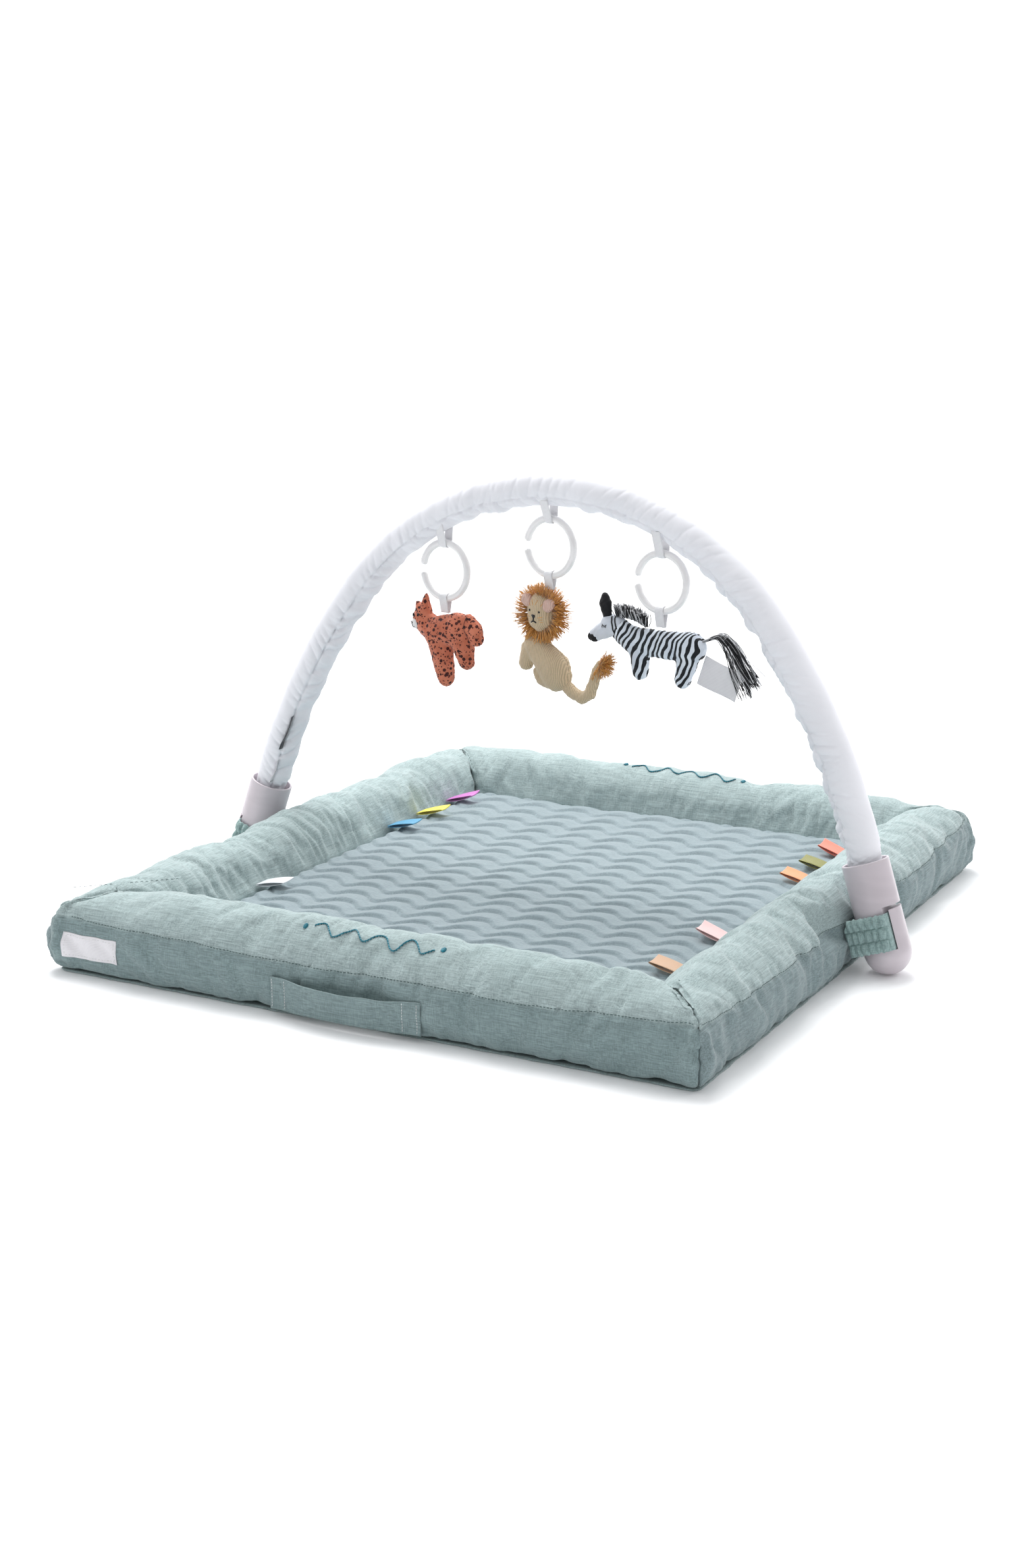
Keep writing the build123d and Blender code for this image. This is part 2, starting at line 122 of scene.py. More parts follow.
def mesh_piece(name, points, faces, material, smooth=True, closed=True):
    mesh = bpy.data.meshes.new(name)
    mesh.from_pydata(np.asarray(points, float).reshape(-1, 3).tolist(), [], faces)
    if closed:
        turned_out = bmesh.new()
        turned_out.from_mesh(mesh)
        bmesh.ops.recalc_face_normals(turned_out, faces=turned_out.faces)
        turned_out.to_mesh(mesh)
        turned_out.free()
    mesh.materials.append(material)
    if smooth:
        mesh.shade_smooth()
    piece = bpy.data.objects.new(name, mesh)
    bpy.context.scene.collection.objects.link(piece)
    return piece


def grid_faces(rows, columns, offset=0, wrap=False, flip=False):
    """Quads between the rows and columns of a grid; wrap closes each row into a loop."""
    faces = []
    for i in range(rows - 1):
        for j in range(columns if wrap else columns - 1):
            k = (j + 1) % columns
            quad = (i * columns + j, i * columns + k, (i + 1) * columns + k, (i + 1) * columns + j)
            quad = tuple(offset + v for v in quad)
            faces.append(quad[::-1] if flip else quad)
    return faces


def tube_mesh(rings, offset=0):
    """Points and faces of a closed tube through loops of points, with a fan over each end."""
    rows, columns = rings.shape[:2]
    ends = np.stack([rings[0].mean(0), rings[-1].mean(0)])
    points = np.concatenate([rings.reshape(-1, 3), ends])
    faces = grid_faces(rows, columns, offset, wrap=True)
    first, last = offset + rows * columns, offset + rows * columns + 1
    top = offset + (rows - 1) * columns
    for j in range(columns):
        k = (j + 1) % columns
        faces.append((first, offset + k, offset + j))
        faces.append((last, top + j, top + k))
    return points, faces


def slab_mesh(front, back, offset=0):
    """Points and faces of a closed thin body between two grids of points."""
    rows, columns = front.shape[:2]
    count = rows * columns
    points = np.concatenate([front.reshape(-1, 3), back.reshape(-1, 3)])
    faces = grid_faces(rows, columns, offset) + grid_faces(rows, columns, offset + count, flip=True)
    rim = list(range(columns))
    rim += [i * columns + columns - 1 for i in range(1, rows)]
    rim += [(rows - 1) * columns + j for j in range(columns - 2, -1, -1)]
    rim += [i * columns for i in range(rows - 2, 0, -1)]
    for a, b in zip(rim, rim[1:] + rim[:1]):
        faces.append((offset + b, offset + a, offset + count + a, offset + count + b))
    return points, faces


def grid_normals(grid):
    across = np.gradient(grid, axis=1)
    down = np.gradient(grid, axis=0)
    normal = np.cross(across, down)
    return normal / np.maximum(np.linalg.norm(normal, axis=2, keepdims=True), 1e-12)


def unit(v):
    v = np.asarray(v, float)
    return v / max(np.linalg.norm(v), 1e-12)


def joined(parts):
    """Joins (points, faces) pairs into one."""
    points, faces, offset = [], [], 0
    for some_points, some_faces in parts:
        points.append(np.asarray(some_points).reshape(-1, 3))
        faces += [tuple(offset + v for v in face) for face in some_faces]
        offset += len(points[-1])
    return np.concatenate(points), faces


def strand(path, radius, sides=3, tip=0.4):
    """A thin closed yarn along a few points."""
    path = np.asarray(path, float)
    steps = np.gradient(path, axis=0)
    rings = []
    for k, (point, step) in enumerate(zip(path, steps)):
        direction = unit(step)
        side = unit(np.cross(direction, [0.31, 0.9, 0.29]))
        other = np.cross(direction, side)
        r = radius * (1 - (1 - tip) * k / (len(path) - 1))
        angles = [2 * pi * s / sides for s in range(sides)]
        rings.append([point + r * (cos(a) * side + sin(a) * other) for a in angles])
    return tube_mesh(np.array(rings))


def stitch(start, end, normal, radius):
    """One stitch of thread: a short raised spindle between two points."""
    start, end, normal = (np.asarray(p, float) for p in (start, end, normal))
    lift = normal * radius
    path = [start - lift * 0.8, start + (end - start) * 0.2 + lift,
            start + (end - start) * 0.8 + lift, end - lift * 0.8]
    return strand(path, radius, sides=5, tip=1.0)


def assembled(name, parts, material):
    """One piece made of (points, faces) pairs."""
    return mesh_piece(name, *joined(parts), mats[material])


def thin_sheet(name, grid, half_thickness, material):
    """A closed sheet of cloth, half its thickness to each side of a grid of points."""
    normals = grid_normals(grid)
    points, faces = slab_mesh(grid + normals * half_thickness, grid - normals * half_thickness)
    return mesh_piece(name, points, faces, mats[material])


def finished(piece, body, slot, *nodes, fill=None):
    """Puts a piece on its body and hides the CAD nodes that it stands for; the record slot is not used."""
    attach(piece, body)
    if nodes:
        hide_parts(*nodes)
    return piece


# ---------------------------------------------------------------- materials

def srgb(red, green, blue):
    """A colour from 0-255 display values, as linear light."""
    linear = [((c / 255 + 0.055) / 1.055) ** 2.4 if c > 10.3 else c / 255 / 12.92 for c in (red, green, blue)]
    return (*linear, 1.0)


class Finish:
    """A material and the few node moves that all finishes here are made from."""

    def __init__(self, name, roughness=0.7, sheen=0.0, coat=0.0, specular=0.5):
        self.material = bpy.data.materials.new(name)
        self.material.use_nodes = True
        self.tree = self.material.node_tree
        self.shader = self.tree.nodes["Principled BSDF"]
        settings = {"Roughness": roughness, "Sheen Weight": sheen, "Sheen Roughness": 0.45, "Coat Weight": coat,
                    "Coat Roughness": 0.18, "Specular IOR Level": specular}
        for socket, value in settings.items():
            self.shader.inputs[socket].default_value = value
        self.place = self.tree.nodes.new("ShaderNodeTexCoord").outputs["Object"]
        self.height = None

    def node(self, kind, inputs=None, **settings):
        """A new node, its settings by name and its inputs by name or number."""
        made = self.tree.nodes.new(kind)
        for key, value in settings.items():
            setattr(made, key, value)
        for socket, value in (inputs or {}).items():
            self.feed(made.inputs[socket], value)
        return made

    def feed(self, socket, value):
        if isinstance(value, bpy.types.NodeSocket):
            self.tree.links.new(value, socket)
        else:
            socket.default_value = value

    def mapped(self, scale, turn=(0, 0, 0)):
        inputs = {"Vector": self.place, "Scale": scale, "Rotation": turn}
        return self.node("ShaderNodeMapping", inputs).outputs["Vector"]

    def noise(self, scale, detail=2.0, where=None, roughness=0.5, distortion=0.0):
        inputs = {"Vector": where or self.place, "Scale": scale, "Detail": detail,
                  "Roughness": roughness, "Distortion": distortion}
        return self.node("ShaderNodeTexNoise", inputs).outputs["Fac"]

    def wave(self, scale, where=None, direction="X", distortion=0.0, detail=0.0, detail_scale=1.0):
        inputs = {"Vector": where or self.place, "Scale": scale, "Distortion": distortion,
                  "Detail": detail, "Detail Scale": detail_scale}
        return self.node("ShaderNodeTexWave", inputs, bands_direction=direction).outputs["Fac"]

    def voronoi(self, scale, where):
        return self.node("ShaderNodeTexVoronoi", {"Vector": where, "Scale": scale}).outputs["Distance"]

    def math(self, operation, a, b):
        return self.node("ShaderNodeMath", {0: a, 1: b}, operation=operation).outputs[0]

    def graded(self, value, *stops):
        """A colour read from a value, by (position, colour) stops."""
        made = self.node("ShaderNodeValToRGB", {"Fac": value})
        elements = made.color_ramp.elements
        while len(elements) < len(stops):
            elements.new(0.5)
        for element, (position, colour) in zip(elements, stops):
            element.position = position
            element.color = colour
        return made.outputs["Color"]

    def mixed(self, amount, a, b, blend="MIX"):
        made = self.node("ShaderNodeMix", data_type="RGBA", blend_type=blend)
        for socket, value in (("Factor", amount), (6, a), (7, b)):  # 6, 7 and output 2 are its colours
            self.feed(made.inputs[socket], value)
        return made.outputs[2]

    def colour(self, value):
        self.feed(self.shader.inputs["Base Color"], value)
        return self

    def bump(self, value, distance, strength=1.0):
        made = self.node("ShaderNodeBump", {"Strength": strength, "Distance": distance, "Height": value})
        if self.height is not None:
            self.feed(made.inputs["Normal"], self.height)
        self.height = made.outputs["Normal"]
        self.feed(self.shader.inputs["Normal"], self.height)
        return self

    def rough(self, value, low, high):
        spread = self.node("ShaderNodeMapRange", {"Value": value, "To Min": low, "To Max": high})
        self.feed(self.shader.inputs["Roughness"], spread.outputs["Result"])
        return self


def tint(colour, factor):
    return (*[min(1.0, c * factor) for c in colour[:3]], 1.0)


def chambray(name, colour, axis, streak=0.16, weave=0.00022, side=None):
    """Slubbed two-tone cotton, its thicker threads running along an axis; side, if given, is a darker colour painted
    as shade on the faces below the outer seam.
    """
    finish = Finish(name, roughness=0.86, sheen=0.22, specular=0.25)
    long_way = [900.0, 900.0, 900.0]
    long_way["XYZ".index(axis)] = 26.0
    short_way = [150.0, 150.0, 150.0]
    short_way["XYZ".index(axis)] = 1500.0
    slubs = finish.noise(1.0, 3.0, finish.mapped(long_way), roughness=0.65)
    picks = finish.noise(1.0, 2.0, finish.mapped(short_way), roughness=0.6)
    mottle = finish.noise(22.0, 4.0, roughness=0.6)
    threads = finish.math("ADD", finish.math("MULTIPLY", slubs, 0.62), finish.math("MULTIPLY", picks, 0.38))
    tones = [(0.36, 1 - 1.9 * streak), (0.50, 1.0), (0.64, 1 + 1.9 * streak)]
    base = finish.graded(threads, *((stop, tint(colour, tone)) for stop, tone in tones))
    # Painted shade: faces marked below the outer seam take the darker side colour.
    if side:
        panel = finish.node("ShaderNodeAttribute", attribute_name=PAINTED_SHADE_PANEL)
        darker = finish.graded(threads, *((stop, tint(side, tone)) for stop, tone in tones))
        base = finish.mixed(panel.outputs["Fac"], base, darker)
    faded = finish.graded(mottle, (0.3, (0.95, 0.96, 0.96, 1)), (0.7, (1.03, 1.02, 1.02, 1)))
    finish.colour(finish.mixed(1.0, base, faded, "MULTIPLY"))
    finish.bump(threads, weave, 0.8)
    finish.rough(threads, 0.78, 0.94)
    return finish.material


def satin(name, colour, direction, pitch=0.0011):
    """Woven ribbon with fine ribs across it."""
    finish = Finish(name, roughness=0.42, sheen=0.3, specular=0.45)
    ribs = finish.wave(1 / (pitch * 2 * pi) * 2, direction=direction, distortion=0.4, detail=1.0)
    wear = finish.noise(160.0, 3.0)
    base = finish.graded(ribs, (0.0, tint(colour, 0.84)), (1.0, tint(colour, 1.08)))
    finish.colour(finish.mixed(finish.math("MULTIPLY", wear, 0.35), base, tint(colour, 1.25)))
    finish.bump(ribs, 0.00018, 0.8)
    finish.rough(wear, 0.36, 0.55)
    return finish.material


def cotton(name, colour, crease=0.0012):
    """Plain smooth cotton with soft small creases."""
    finish = Finish(name, roughness=0.78, sheen=0.18, specular=0.3)
    creases = finish.noise(38.0, 3.0, roughness=0.5, distortion=0.6)
    threads = finish.noise(1600.0, 2.0)
    soil = finish.noise(9.0, 3.0)
    base = finish.graded(soil, (0.3, tint(colour, 0.965)), (0.7, tint(colour, 1.02)))
    finish.colour(finish.mixed(finish.math("MULTIPLY", threads, 0.10), base, tint(colour, 0.82)))
    finish.bump(creases, crease, 0.55)
    finish.bump(threads, 0.00012, 0.5)
    finish.rough(threads, 0.7, 0.86)
    return finish.material


def moulded(name, colour, roughness=0.3, coat=0.35):
    """Moulded plastic: a slight orange peel, faint flow marks, and fine handling scratches."""
    finish = Finish(name, roughness=roughness, coat=coat, specular=0.5)
    peel = finish.noise(420.0, 2.0)
    flow = finish.noise(1.0, 3.0, finish.mapped((18.0, 18.0, 60.0)), distortion=0.8)
    scratches = finish.noise(1.0, 2.0, finish.mapped((60.0, 900.0, 70.0), turn=(0.4, 0.2, 0.7)), roughness=0.7)
    finish.colour(finish.graded(flow, (0.3, tint(colour, 0.96)), (0.7, tint(colour, 1.03))))
    finish.bump(peel, 0.00010, 0.35)
    finish.bump(scratches, 0.00006, 0.25)
    finish.rough(scratches, roughness * 0.8, roughness * 1.35)
    return finish.material


def thread(name, colour, roughness=0.6):
    """Twisted thread or yarn."""
    finish = Finish(name, roughness=roughness, sheen=0.35, specular=0.35)
    twist = finish.noise(1400.0, 2.0)
    shade = finish.noise(220.0, 2.0)
    base = finish.graded(shade, (0.3, tint(colour, 0.72)), (0.7, tint(colour, 1.25)))
    finish.colour(finish.mixed(finish.math("MULTIPLY", twist, 0.4), base, tint(colour, 0.6)))
    finish.bump(twist, 0.0001, 0.6)
    return finish.material


def toy_space(finish, joint):
    """Object coordinates turned into a toy's own upright plane, with the ring's wire as origin."""
    inputs = {0: finish.place, 1: joints[joint]["pos_m"]}
    shifted = finish.node("ShaderNodeVectorMath", inputs, operation="SUBTRACT").outputs[0]
    turned = finish.node("ShaderNodeVectorRotate", {"Vector": shifted, "Angle": -ring_yaw}, rotation_type="Z_AXIS")
    return turned.outputs["Vector"]


def leopard_print(name):
    finish = Finish(name, roughness=0.84, sheen=0.25, specular=0.25)
    where = toy_space(finish, "leopard_swing")
    warp = finish.noise(170.0, 2.0, where)
    large = finish.voronoi(170.0, where)
    small = finish.voronoi(330.0, where)
    spots = finish.math("MINIMUM", finish.math("ADD", large, finish.math("MULTIPLY", warp, 0.22)),
                        finish.math("ADD", finish.math("MULTIPLY", small, 1.05), 0.14))
    ground = finish.graded(finish.noise(60.0, 3.0), (0.3, srgb(188, 104, 78)), (0.7, srgb(218, 132, 104)))
    ink = finish.graded(warp, (0.3, srgb(48, 22, 24)), (0.7, srgb(84, 40, 36)))
    mask = finish.graded(spots, (0.0, (1, 1, 1, 1)), (0.43, (1, 1, 1, 1)), (0.46, (0, 0, 0, 1)))
    finish.colour(finish.mixed(mask, ground, ink))
    finish.bump(finish.noise(900.0, 2.0), 0.0002, 0.7)
    return finish.material


def zebra_print(name):
    finish = Finish(name, roughness=0.84, sheen=0.25, specular=0.25)
    where = toy_space(finish, "zebra_swing")
    leaning = finish.node("ShaderNodeVectorRotate", {"Vector": where, "Angle": radians(-24)}, rotation_type="Y_AXIS")
    bands = finish.wave(46.0, leaning.outputs["Vector"], distortion=11.0, detail=2.0, detail_scale=0.6)
    forks = finish.noise(75.0, 2.0, where)
    mixed = finish.math("ADD", bands, finish.math("MULTIPLY", finish.math("SUBTRACT", forks, 0.5), 0.7))
    ground = finish.graded(finish.noise(50.0, 3.0), (0.3, srgb(206, 214, 226)), (0.7, srgb(232, 238, 246)))
    mask = finish.graded(mixed, (0.0, (1, 1, 1, 1)), (0.44, (1, 1, 1, 1)), (0.50, (0, 0, 0, 1)))
    finish.colour(finish.mixed(mask, ground, srgb(30, 31, 36)))
    finish.bump(finish.noise(900.0, 2.0), 0.0002, 0.7)
    return finish.material


def knit(name, colour, joint, pitch=0.0019):
    """Ribbed jersey: upright ribs of small loops."""
    finish = Finish(name, roughness=0.88, sheen=0.3, specular=0.2)
    where = toy_space(finish, joint)
    ribs = finish.wave(1 / (2 * pitch) * 0.62, where, distortion=0.7, detail=1.0)
    loops = finish.wave(1 / (2 * pitch) * 0.9, where, direction="Z", distortion=0.9, detail=1.0)
    surface = finish.math("ADD", finish.math("MULTIPLY", ribs, 0.7), finish.math("MULTIPLY", loops, 0.3))
    base = finish.graded(surface, (0.1, tint(colour, 0.70)), (0.55, colour), (0.95, tint(colour, 1.14)))
    finish.colour(finish.mixed(finish.math("MULTIPLY", finish.noise(70.0, 3.0), 0.3), base, tint(colour, 0.86)))
    finish.bump(surface, 0.0006, 0.9)
    return finish.material


# Painted shade: the front and flank faces below the outer seam get darker colours that stand in for the shade on
# them.
PAINTED_SHADE_PANEL = "painted_shade_panel"
chambray_green = srgb(158, 174, 174)
shaded_front_colour, shaded_flank_colour = srgb(126, 144, 145), srgb(126, 142, 144)
quilt_colour = srgb(137, 151, 156)
mats = {
    "chambray_x": chambray("chambray_along_x", chambray_green, "X", side=shaded_front_colour),
    "chambray_y": chambray("chambray_along_y", chambray_green, "Y", side=shaded_flank_colour),
    "shaded_side_x": chambray("chambray_shaded_side", shaded_front_colour, "X"),
    "strap": chambray("chambray_elastic", srgb(146, 170, 168), "Z"),
    "base": chambray("chambray_base", tint(chambray_green, 0.9), "X"),
    "quilt": chambray("quilt_cotton", quilt_colour, "X", streak=0.10),
    "label": satin("label_satin", srgb(232, 230, 234), "Z", 0.0009),
    "tube": moulded("tube_plastic", srgb(228, 226, 224)),
    "sleeve": cotton("sleeve_cotton", srgb(243, 243, 248), 0.0007),
    "foot": moulded("foot_plastic", srgb(205, 196, 202), 0.34, 0.25),
    "ring": moulded("ring_plastic", srgb(243, 241, 241), 0.2, 0.6),
    "tape": satin("white_tape", srgb(240, 239, 242), "Z", 0.0009),
    "black_tape": satin("black_tape", srgb(34, 36, 44), "Z", 0.0009),
    "leopard": leopard_print("leopard_print"),
    "felt": cotton("white_felt", srgb(240, 238, 236), 0.0003),
    "knit": knit("lion_knit", srgb(214, 192, 160), "lion_swing"),
    "ear_knit": knit("lion_ear_knit", srgb(226, 190, 176), "lion_swing"),
    "fringe": thread("lion_fringe", srgb(224, 158, 78), 0.42),
    "zebra": zebra_print("zebra_print"),
    "zebra_face": cotton("zebra_face_cotton", srgb(214, 220, 230), 0.0003),
    "black_felt": cotton("black_felt", srgb(24, 24, 28), 0.0003),
    "black_yarn": thread("black_yarn", srgb(26, 26, 30)),
    "white_yarn": thread("white_yarn", srgb(228, 228, 232)),
    "seam_thread": thread("seam_thread", srgb(64, 92, 90)),
    "white_thread": thread("white_thread", srgb(236, 238, 238)),
    "teal_thread": thread("teal_thread", srgb(30, 122, 140), 0.4),
}
ribbon_colours = {
    "blue": srgb(62, 150, 190), "yellow": srgb(232, 220, 70), "magenta": srgb(196, 104, 188),
    "white": srgb(226, 230, 234), "coral": srgb(246, 128, 104), "olive": srgb(128, 126, 42),
    "orange": srgb(230, 150, 96), "pink": srgb(246, 206, 204), "tan": srgb(200, 160, 126),
}
for colour_name, colour_value in ribbon_colours.items():
    mats["ribbon_" + colour_name] = satin("ribbon_" + colour_name, colour_value, "Y")


# ---------------------------------------------------------------- mat: bolsters

BOLSTER_SETBACK = 0.0035  # the crown starts this far inside its CAD shape, and swells
SIDE_BULGE = 0.0012
BOLSTER_CELL = 0.0062
SWELL_LIMIT = 0.0075
CLOTH_FRAMES = 20


def seam_height(share):
    """The height of the outer seam, which sags between the corners; share runs -1 to 1 along a side."""
    return 0.0565 + 0.008 * share ** 2 + 0.0012 * np.sin(share * 9)


def bolster_section(count, power):
    """Evenly spaced (inward, height) points round a bolster, from its lower outer corner upwards."""
    low, high = BOLSTER_LOW + BOLSTER_SETBACK * 0.4, BOLSTER_TOP - BOLSTER_SETBACK
    outer, inner, crest, shoulder, well = -SIDE_BULGE, BOLSTER - 0.001, 0.043, 0.050, 0.041
    foot = 0.011
    outline = [(outer + foot - foot * sin(t), low + foot - foot * cos(t)) for t in np.linspace(0, pi / 2, 10)]
    outline += [(crest - (crest - outer) * cos(t), shoulder + (high - shoulder) * sin(t))
                for t in np.linspace(0, pi / 2, 40)]
    for t in np.linspace(0.02, 1, 50):
        outline.append((crest + (inner - crest) * t, well + (high - well) * (1 - t ** power)))
    outline += [(inner, low + 0.006), (inner - 0.006, low)]
    outline = np.array(outline + outline[:1])
    steps = np.concatenate([[0], np.cumsum(np.linalg.norm(np.diff(outline, axis=0), axis=1))])
    at = np.linspace(0, steps[-1], count, endpoint=False)
    return np.stack([np.interp(at, steps, outline[:, k]) for k in (0, 1)], axis=1)


def rounded_corners(points):
    """Draws the square plan of the mat in to its rounded corners, square ring by square ring."""
    out = points.copy()
    centre_x, centre_y = HALF_WIDTH - CORNER, HALF_DEPTH - CORNER
    qx, qy = np.abs(points[..., 0]) - centre_x, np.abs(points[..., 1]) - centre_y
    inside = (qx > 0) & (qy > 0)
    length = np.hypot(qx, qy)
    scale = np.where(inside, np.maximum(qx, qy) / np.maximum(length, 1e-9), 1.0)
    out[..., 0] = np.where(inside, np.sign(points[..., 0]) * (centre_x + qx * scale), points[..., 0])
    out[..., 1] = np.where(inside, np.sign(points[..., 1]) * (centre_y + qy * scale), points[..., 1])
    return out


# A side's length, the middle of its foot, the way along it, and the way inward.
bolster_sides = {
    "front": (2 * HALF_WIDTH, np.array([0, -HALF_DEPTH, 0]), np.array([1.0, 0, 0]), np.array([0, 1.0, 0])),
    "right": (2 * HALF_DEPTH, np.array([HALF_WIDTH, 0, 0]), np.array([0, 1.0, 0]), np.array([-1.0, 0, 0])),
    "back": (2 * HALF_WIDTH, np.array([0, HALF_DEPTH, 0]), np.array([-1.0, 0, 0]), np.array([0, -1.0, 0])),
    "left": (2 * HALF_DEPTH, np.array([-HALF_WIDTH, 0, 0]), np.array([0, -1.0, 0]), np.array([1.0, 0, 0])),
}
corner_powers = {"front": (2.1, 1.5), "right": (1.5, 1.8), "back": (1.8, 2.3), "left": (2.3, 2.1)}
crease_places = {  # how strongly a side is creased, by place along it
    "front": lambda s: 0.25 + 0.75 * bell(s, 0.0, 0.13) + 0.5 * bell(s, 0.25, 0.06),
    "right": lambda s: 0.45 + 0.8 * bell(s, -0.05, 0.10),
    "back": lambda s: 0.25 + 0.8 * bell(s, -0.12, 0.12),
    "left": lambda s: 0.55 + 0.6 * bell(s, 0.1, 0.2),
}


def swollen(piece, pinned, pressure, limit):
    """Blows a closed cover up from inside with cloth, and moves its points by up to a limit."""
    start = np.array([v.co for v in piece.data.vertices])
    group = piece.vertex_groups.new(name="seams")
    group.add([int(k) for k in pinned], 1.0, "REPLACE")
    cloth = piece.modifiers.new("Cloth", "CLOTH")
    settings = {"quality": 4, "mass": 0.25, "tension_stiffness": 12, "compression_stiffness": 8, "shear_stiffness": 4,
                "bending_stiffness": 0.15, "use_pressure": True, "uniform_pressure_force": pressure,
                "vertex_group_mass": "seams", "shrink_min": -0.05}
    for key, value in settings.items():
        setattr(cloth.settings, key, value)
    cloth.settings.effector_weights.gravity = 0
    cloth.collision_settings.use_collision = False
    cloth.point_cache.frame_start, cloth.point_cache.frame_end = 1, CLOTH_FRAMES
    for step in range(1, CLOTH_FRAMES + 1):
        bpy.context.scene.frame_set(step)
    shown = piece.evaluated_get(bpy.context.evaluated_depsgraph_get())
    moved = np.array([v.co for v in shown.data.vertices]) - start
    bpy.context.scene.frame_set(1)
    piece.modifiers.remove(cloth)
    piece.vertex_groups.clear()
    reach = np.linalg.norm(moved, axis=1, keepdims=True)
    moved *= np.minimum(1, limit / np.maximum(reach, 1e-9))
    piece.data.vertices.foreach_set("co", (start + moved).ravel())
    piece.data.update()


def subdivided(piece, levels=1):
    """Applies a subdivision surface."""
    smooth = piece.modifiers.new("Subdivision", "SUBSURF")
    smooth.levels = levels
    shown = piece.evaluated_get(bpy.context.evaluated_depsgraph_get())
    mesh = bpy.data.meshes.new_from_object(shown)
    piece.modifiers.clear()
    old = piece.data
    piece.data = mesh
    bpy.data.meshes.remove(old)
    piece.data.shade_smooth()


def points_and_normals(piece):
    count = len(piece.data.vertices)
    points, normals = np.zeros(count * 3), np.zeros(count * 3)
    piece.data.vertices.foreach_get("co", points)
    piece.data.vertex_normals.foreach_get("vector", normals)
    return points.reshape(-1, 3), normals.reshape(-1, 3)


def clear_of_foot(points):
    """Presses a side in wherever a foot passes it as the arch tilts."""
    out = points.copy()
    reach = np.hypot(points[:, 1] - PIVOT.y, points[:, 2] - PIVOT.z)
    angle = np.abs(np.arctan2(points[:, 1] - PIVOT.y, points[:, 2] - PIVOT.z))
    wall = FOOT_SPREAD - FOOT_RADIUS / cos(LEG_TILT) - 0.0022 - reach * np.tan(LEG_TILT)
    wall = wall + 0.03 * ramp(angle, radians(62), radians(84)) + 0.05 * ramp(reach, 0.104, 0.125)
    wall = wall + 0.03 * ramp(-reach, -0.014, -0.006) + (reach > 0.125)
    out[:, 0] = np.sign(points[:, 0]) * np.minimum(np.abs(points[:, 0]), wall)
    return out


def flared_corner(points):
    """Lets the front left corner sprawl outwards."""
    out = points.copy()
    out[..., 0] -= 0.014 * bell(points[..., 0], -HALF_WIDTH - 0.015, 0.075) * bell(points[..., 1], -HALF_DEPTH, 0.11)
    return out


def sculpted_bolster(piece, side):
    """Sews the seams in and creases the cover, as puffs and valleys of the real mesh."""
    length, origin, way, inward = bolster_sides[side]
    seed = sum(map(ord, side))
    points, normals = points_and_normals(piece)
    along = (points - origin) @ way
    depth = (points - origin) @ inward
    height = points[:, 2]
    girth = depth + height
    above_seam = height - seam_height(2 * along / length)
    outer = ramp(-depth, -0.05, -0.012)
    inner = ramp(depth, 0.05, 0.085)
    mitre = length / 2 - depth - np.abs(along)
    crease = crease_places[side](along)
    slant = 0.35 * np.sin(along * 23 + seed) * depth
    lift = 0.0016 * ripple(along, 0.11, seed) + 0.0010 * ripple(along + 0.6 * girth, 0.05, seed + 1)
    lift += 0.0034 * crease * inner * ramp(height, 0.042, 0.056) * fold(along + slant, 0.030, seed + 2, 2.5)
    lift += 0.0030 * crease * bell(depth, 0.050, 0.045) * fold(along + 1.6 * slant, 0.047, seed + 3, 4)
    lift += 0.0022 * crease * outer * fold(along - 0.5 * above_seam, 0.038, seed + 4, 3.5)
    top_pull = ramp(above_seam, 0.0, 0.004) * np.exp(-np.clip(above_seam, 0, None) / 0.022)
    lift += 0.0016 * top_pull * fold(along + 0.4 * above_seam, 0.026, seed + 9, 2.2) * (0.4 + crease)
    seam = bell(above_seam, 0, 0.0024) * ramp(-depth, -0.035, -0.022)
    pucker = bell(above_seam, 0, 0.010) * outer
    lift += -0.0016 * seam + 0.0008 * pucker * ripple(along, 0.014, seed + 5)
    mitre_folds = 0.0014 * bell(mitre, 0.004, 0.016) * fold(girth + 0.3 * mitre, 0.014, seed + 6)
    lift += -0.0014 * bell(mitre, 0, 0.0035) * (1 - outer) + mitre_folds
    lift += -0.0012 * bell(height, BOLSTER_LOW + 0.007, 0.003) * outer
    lift += 0.0009 * bell(height, BOLSTER_LOW + 0.011, 0.010) * outer * ripple(along, 0.020, seed + 7)
    if side == "right":
        lift += -0.005 * bell(along, -0.355, 0.011) * bell(height, 0.052, 0.016) * outer
        lift += 0.0022 * bell(along, -0.355, 0.05) * outer * fold(along + 0.8 * (height - 0.05), 0.021, seed + 8)
    lift += 0.0022 * bell(mitre, 0.022, 0.018) * outer * (0.5 + ripple(height + 0.5 * along, 0.03, seed + 10))
    points = points + normals * lift[:, None]
    points[:, 2] -= 0.005 * bell(mitre, 0, 0.035) * ramp(height, 0.045, 0.09)
    points = flared_corner(clear_of_foot(points))
    points[:, 2] = np.maximum(points[:, 2], BOLSTER_LOW - 0.0006)
    piece.data.vertices.foreach_set("co", points.ravel())
    piece.data.update()
    # Marks the outer faces below the seam, where the chambray paints its darker shade colour.
    panel = piece.data.attributes.new(PAINTED_SHADE_PANEL, "FLOAT", "POINT")
    shade_below_seam = ramp(-above_seam, -0.0016, 0.0016) * ramp(-depth, -0.06, -0.045)
    panel.data.foreach_set("value", shade_below_seam.astype(np.float32))


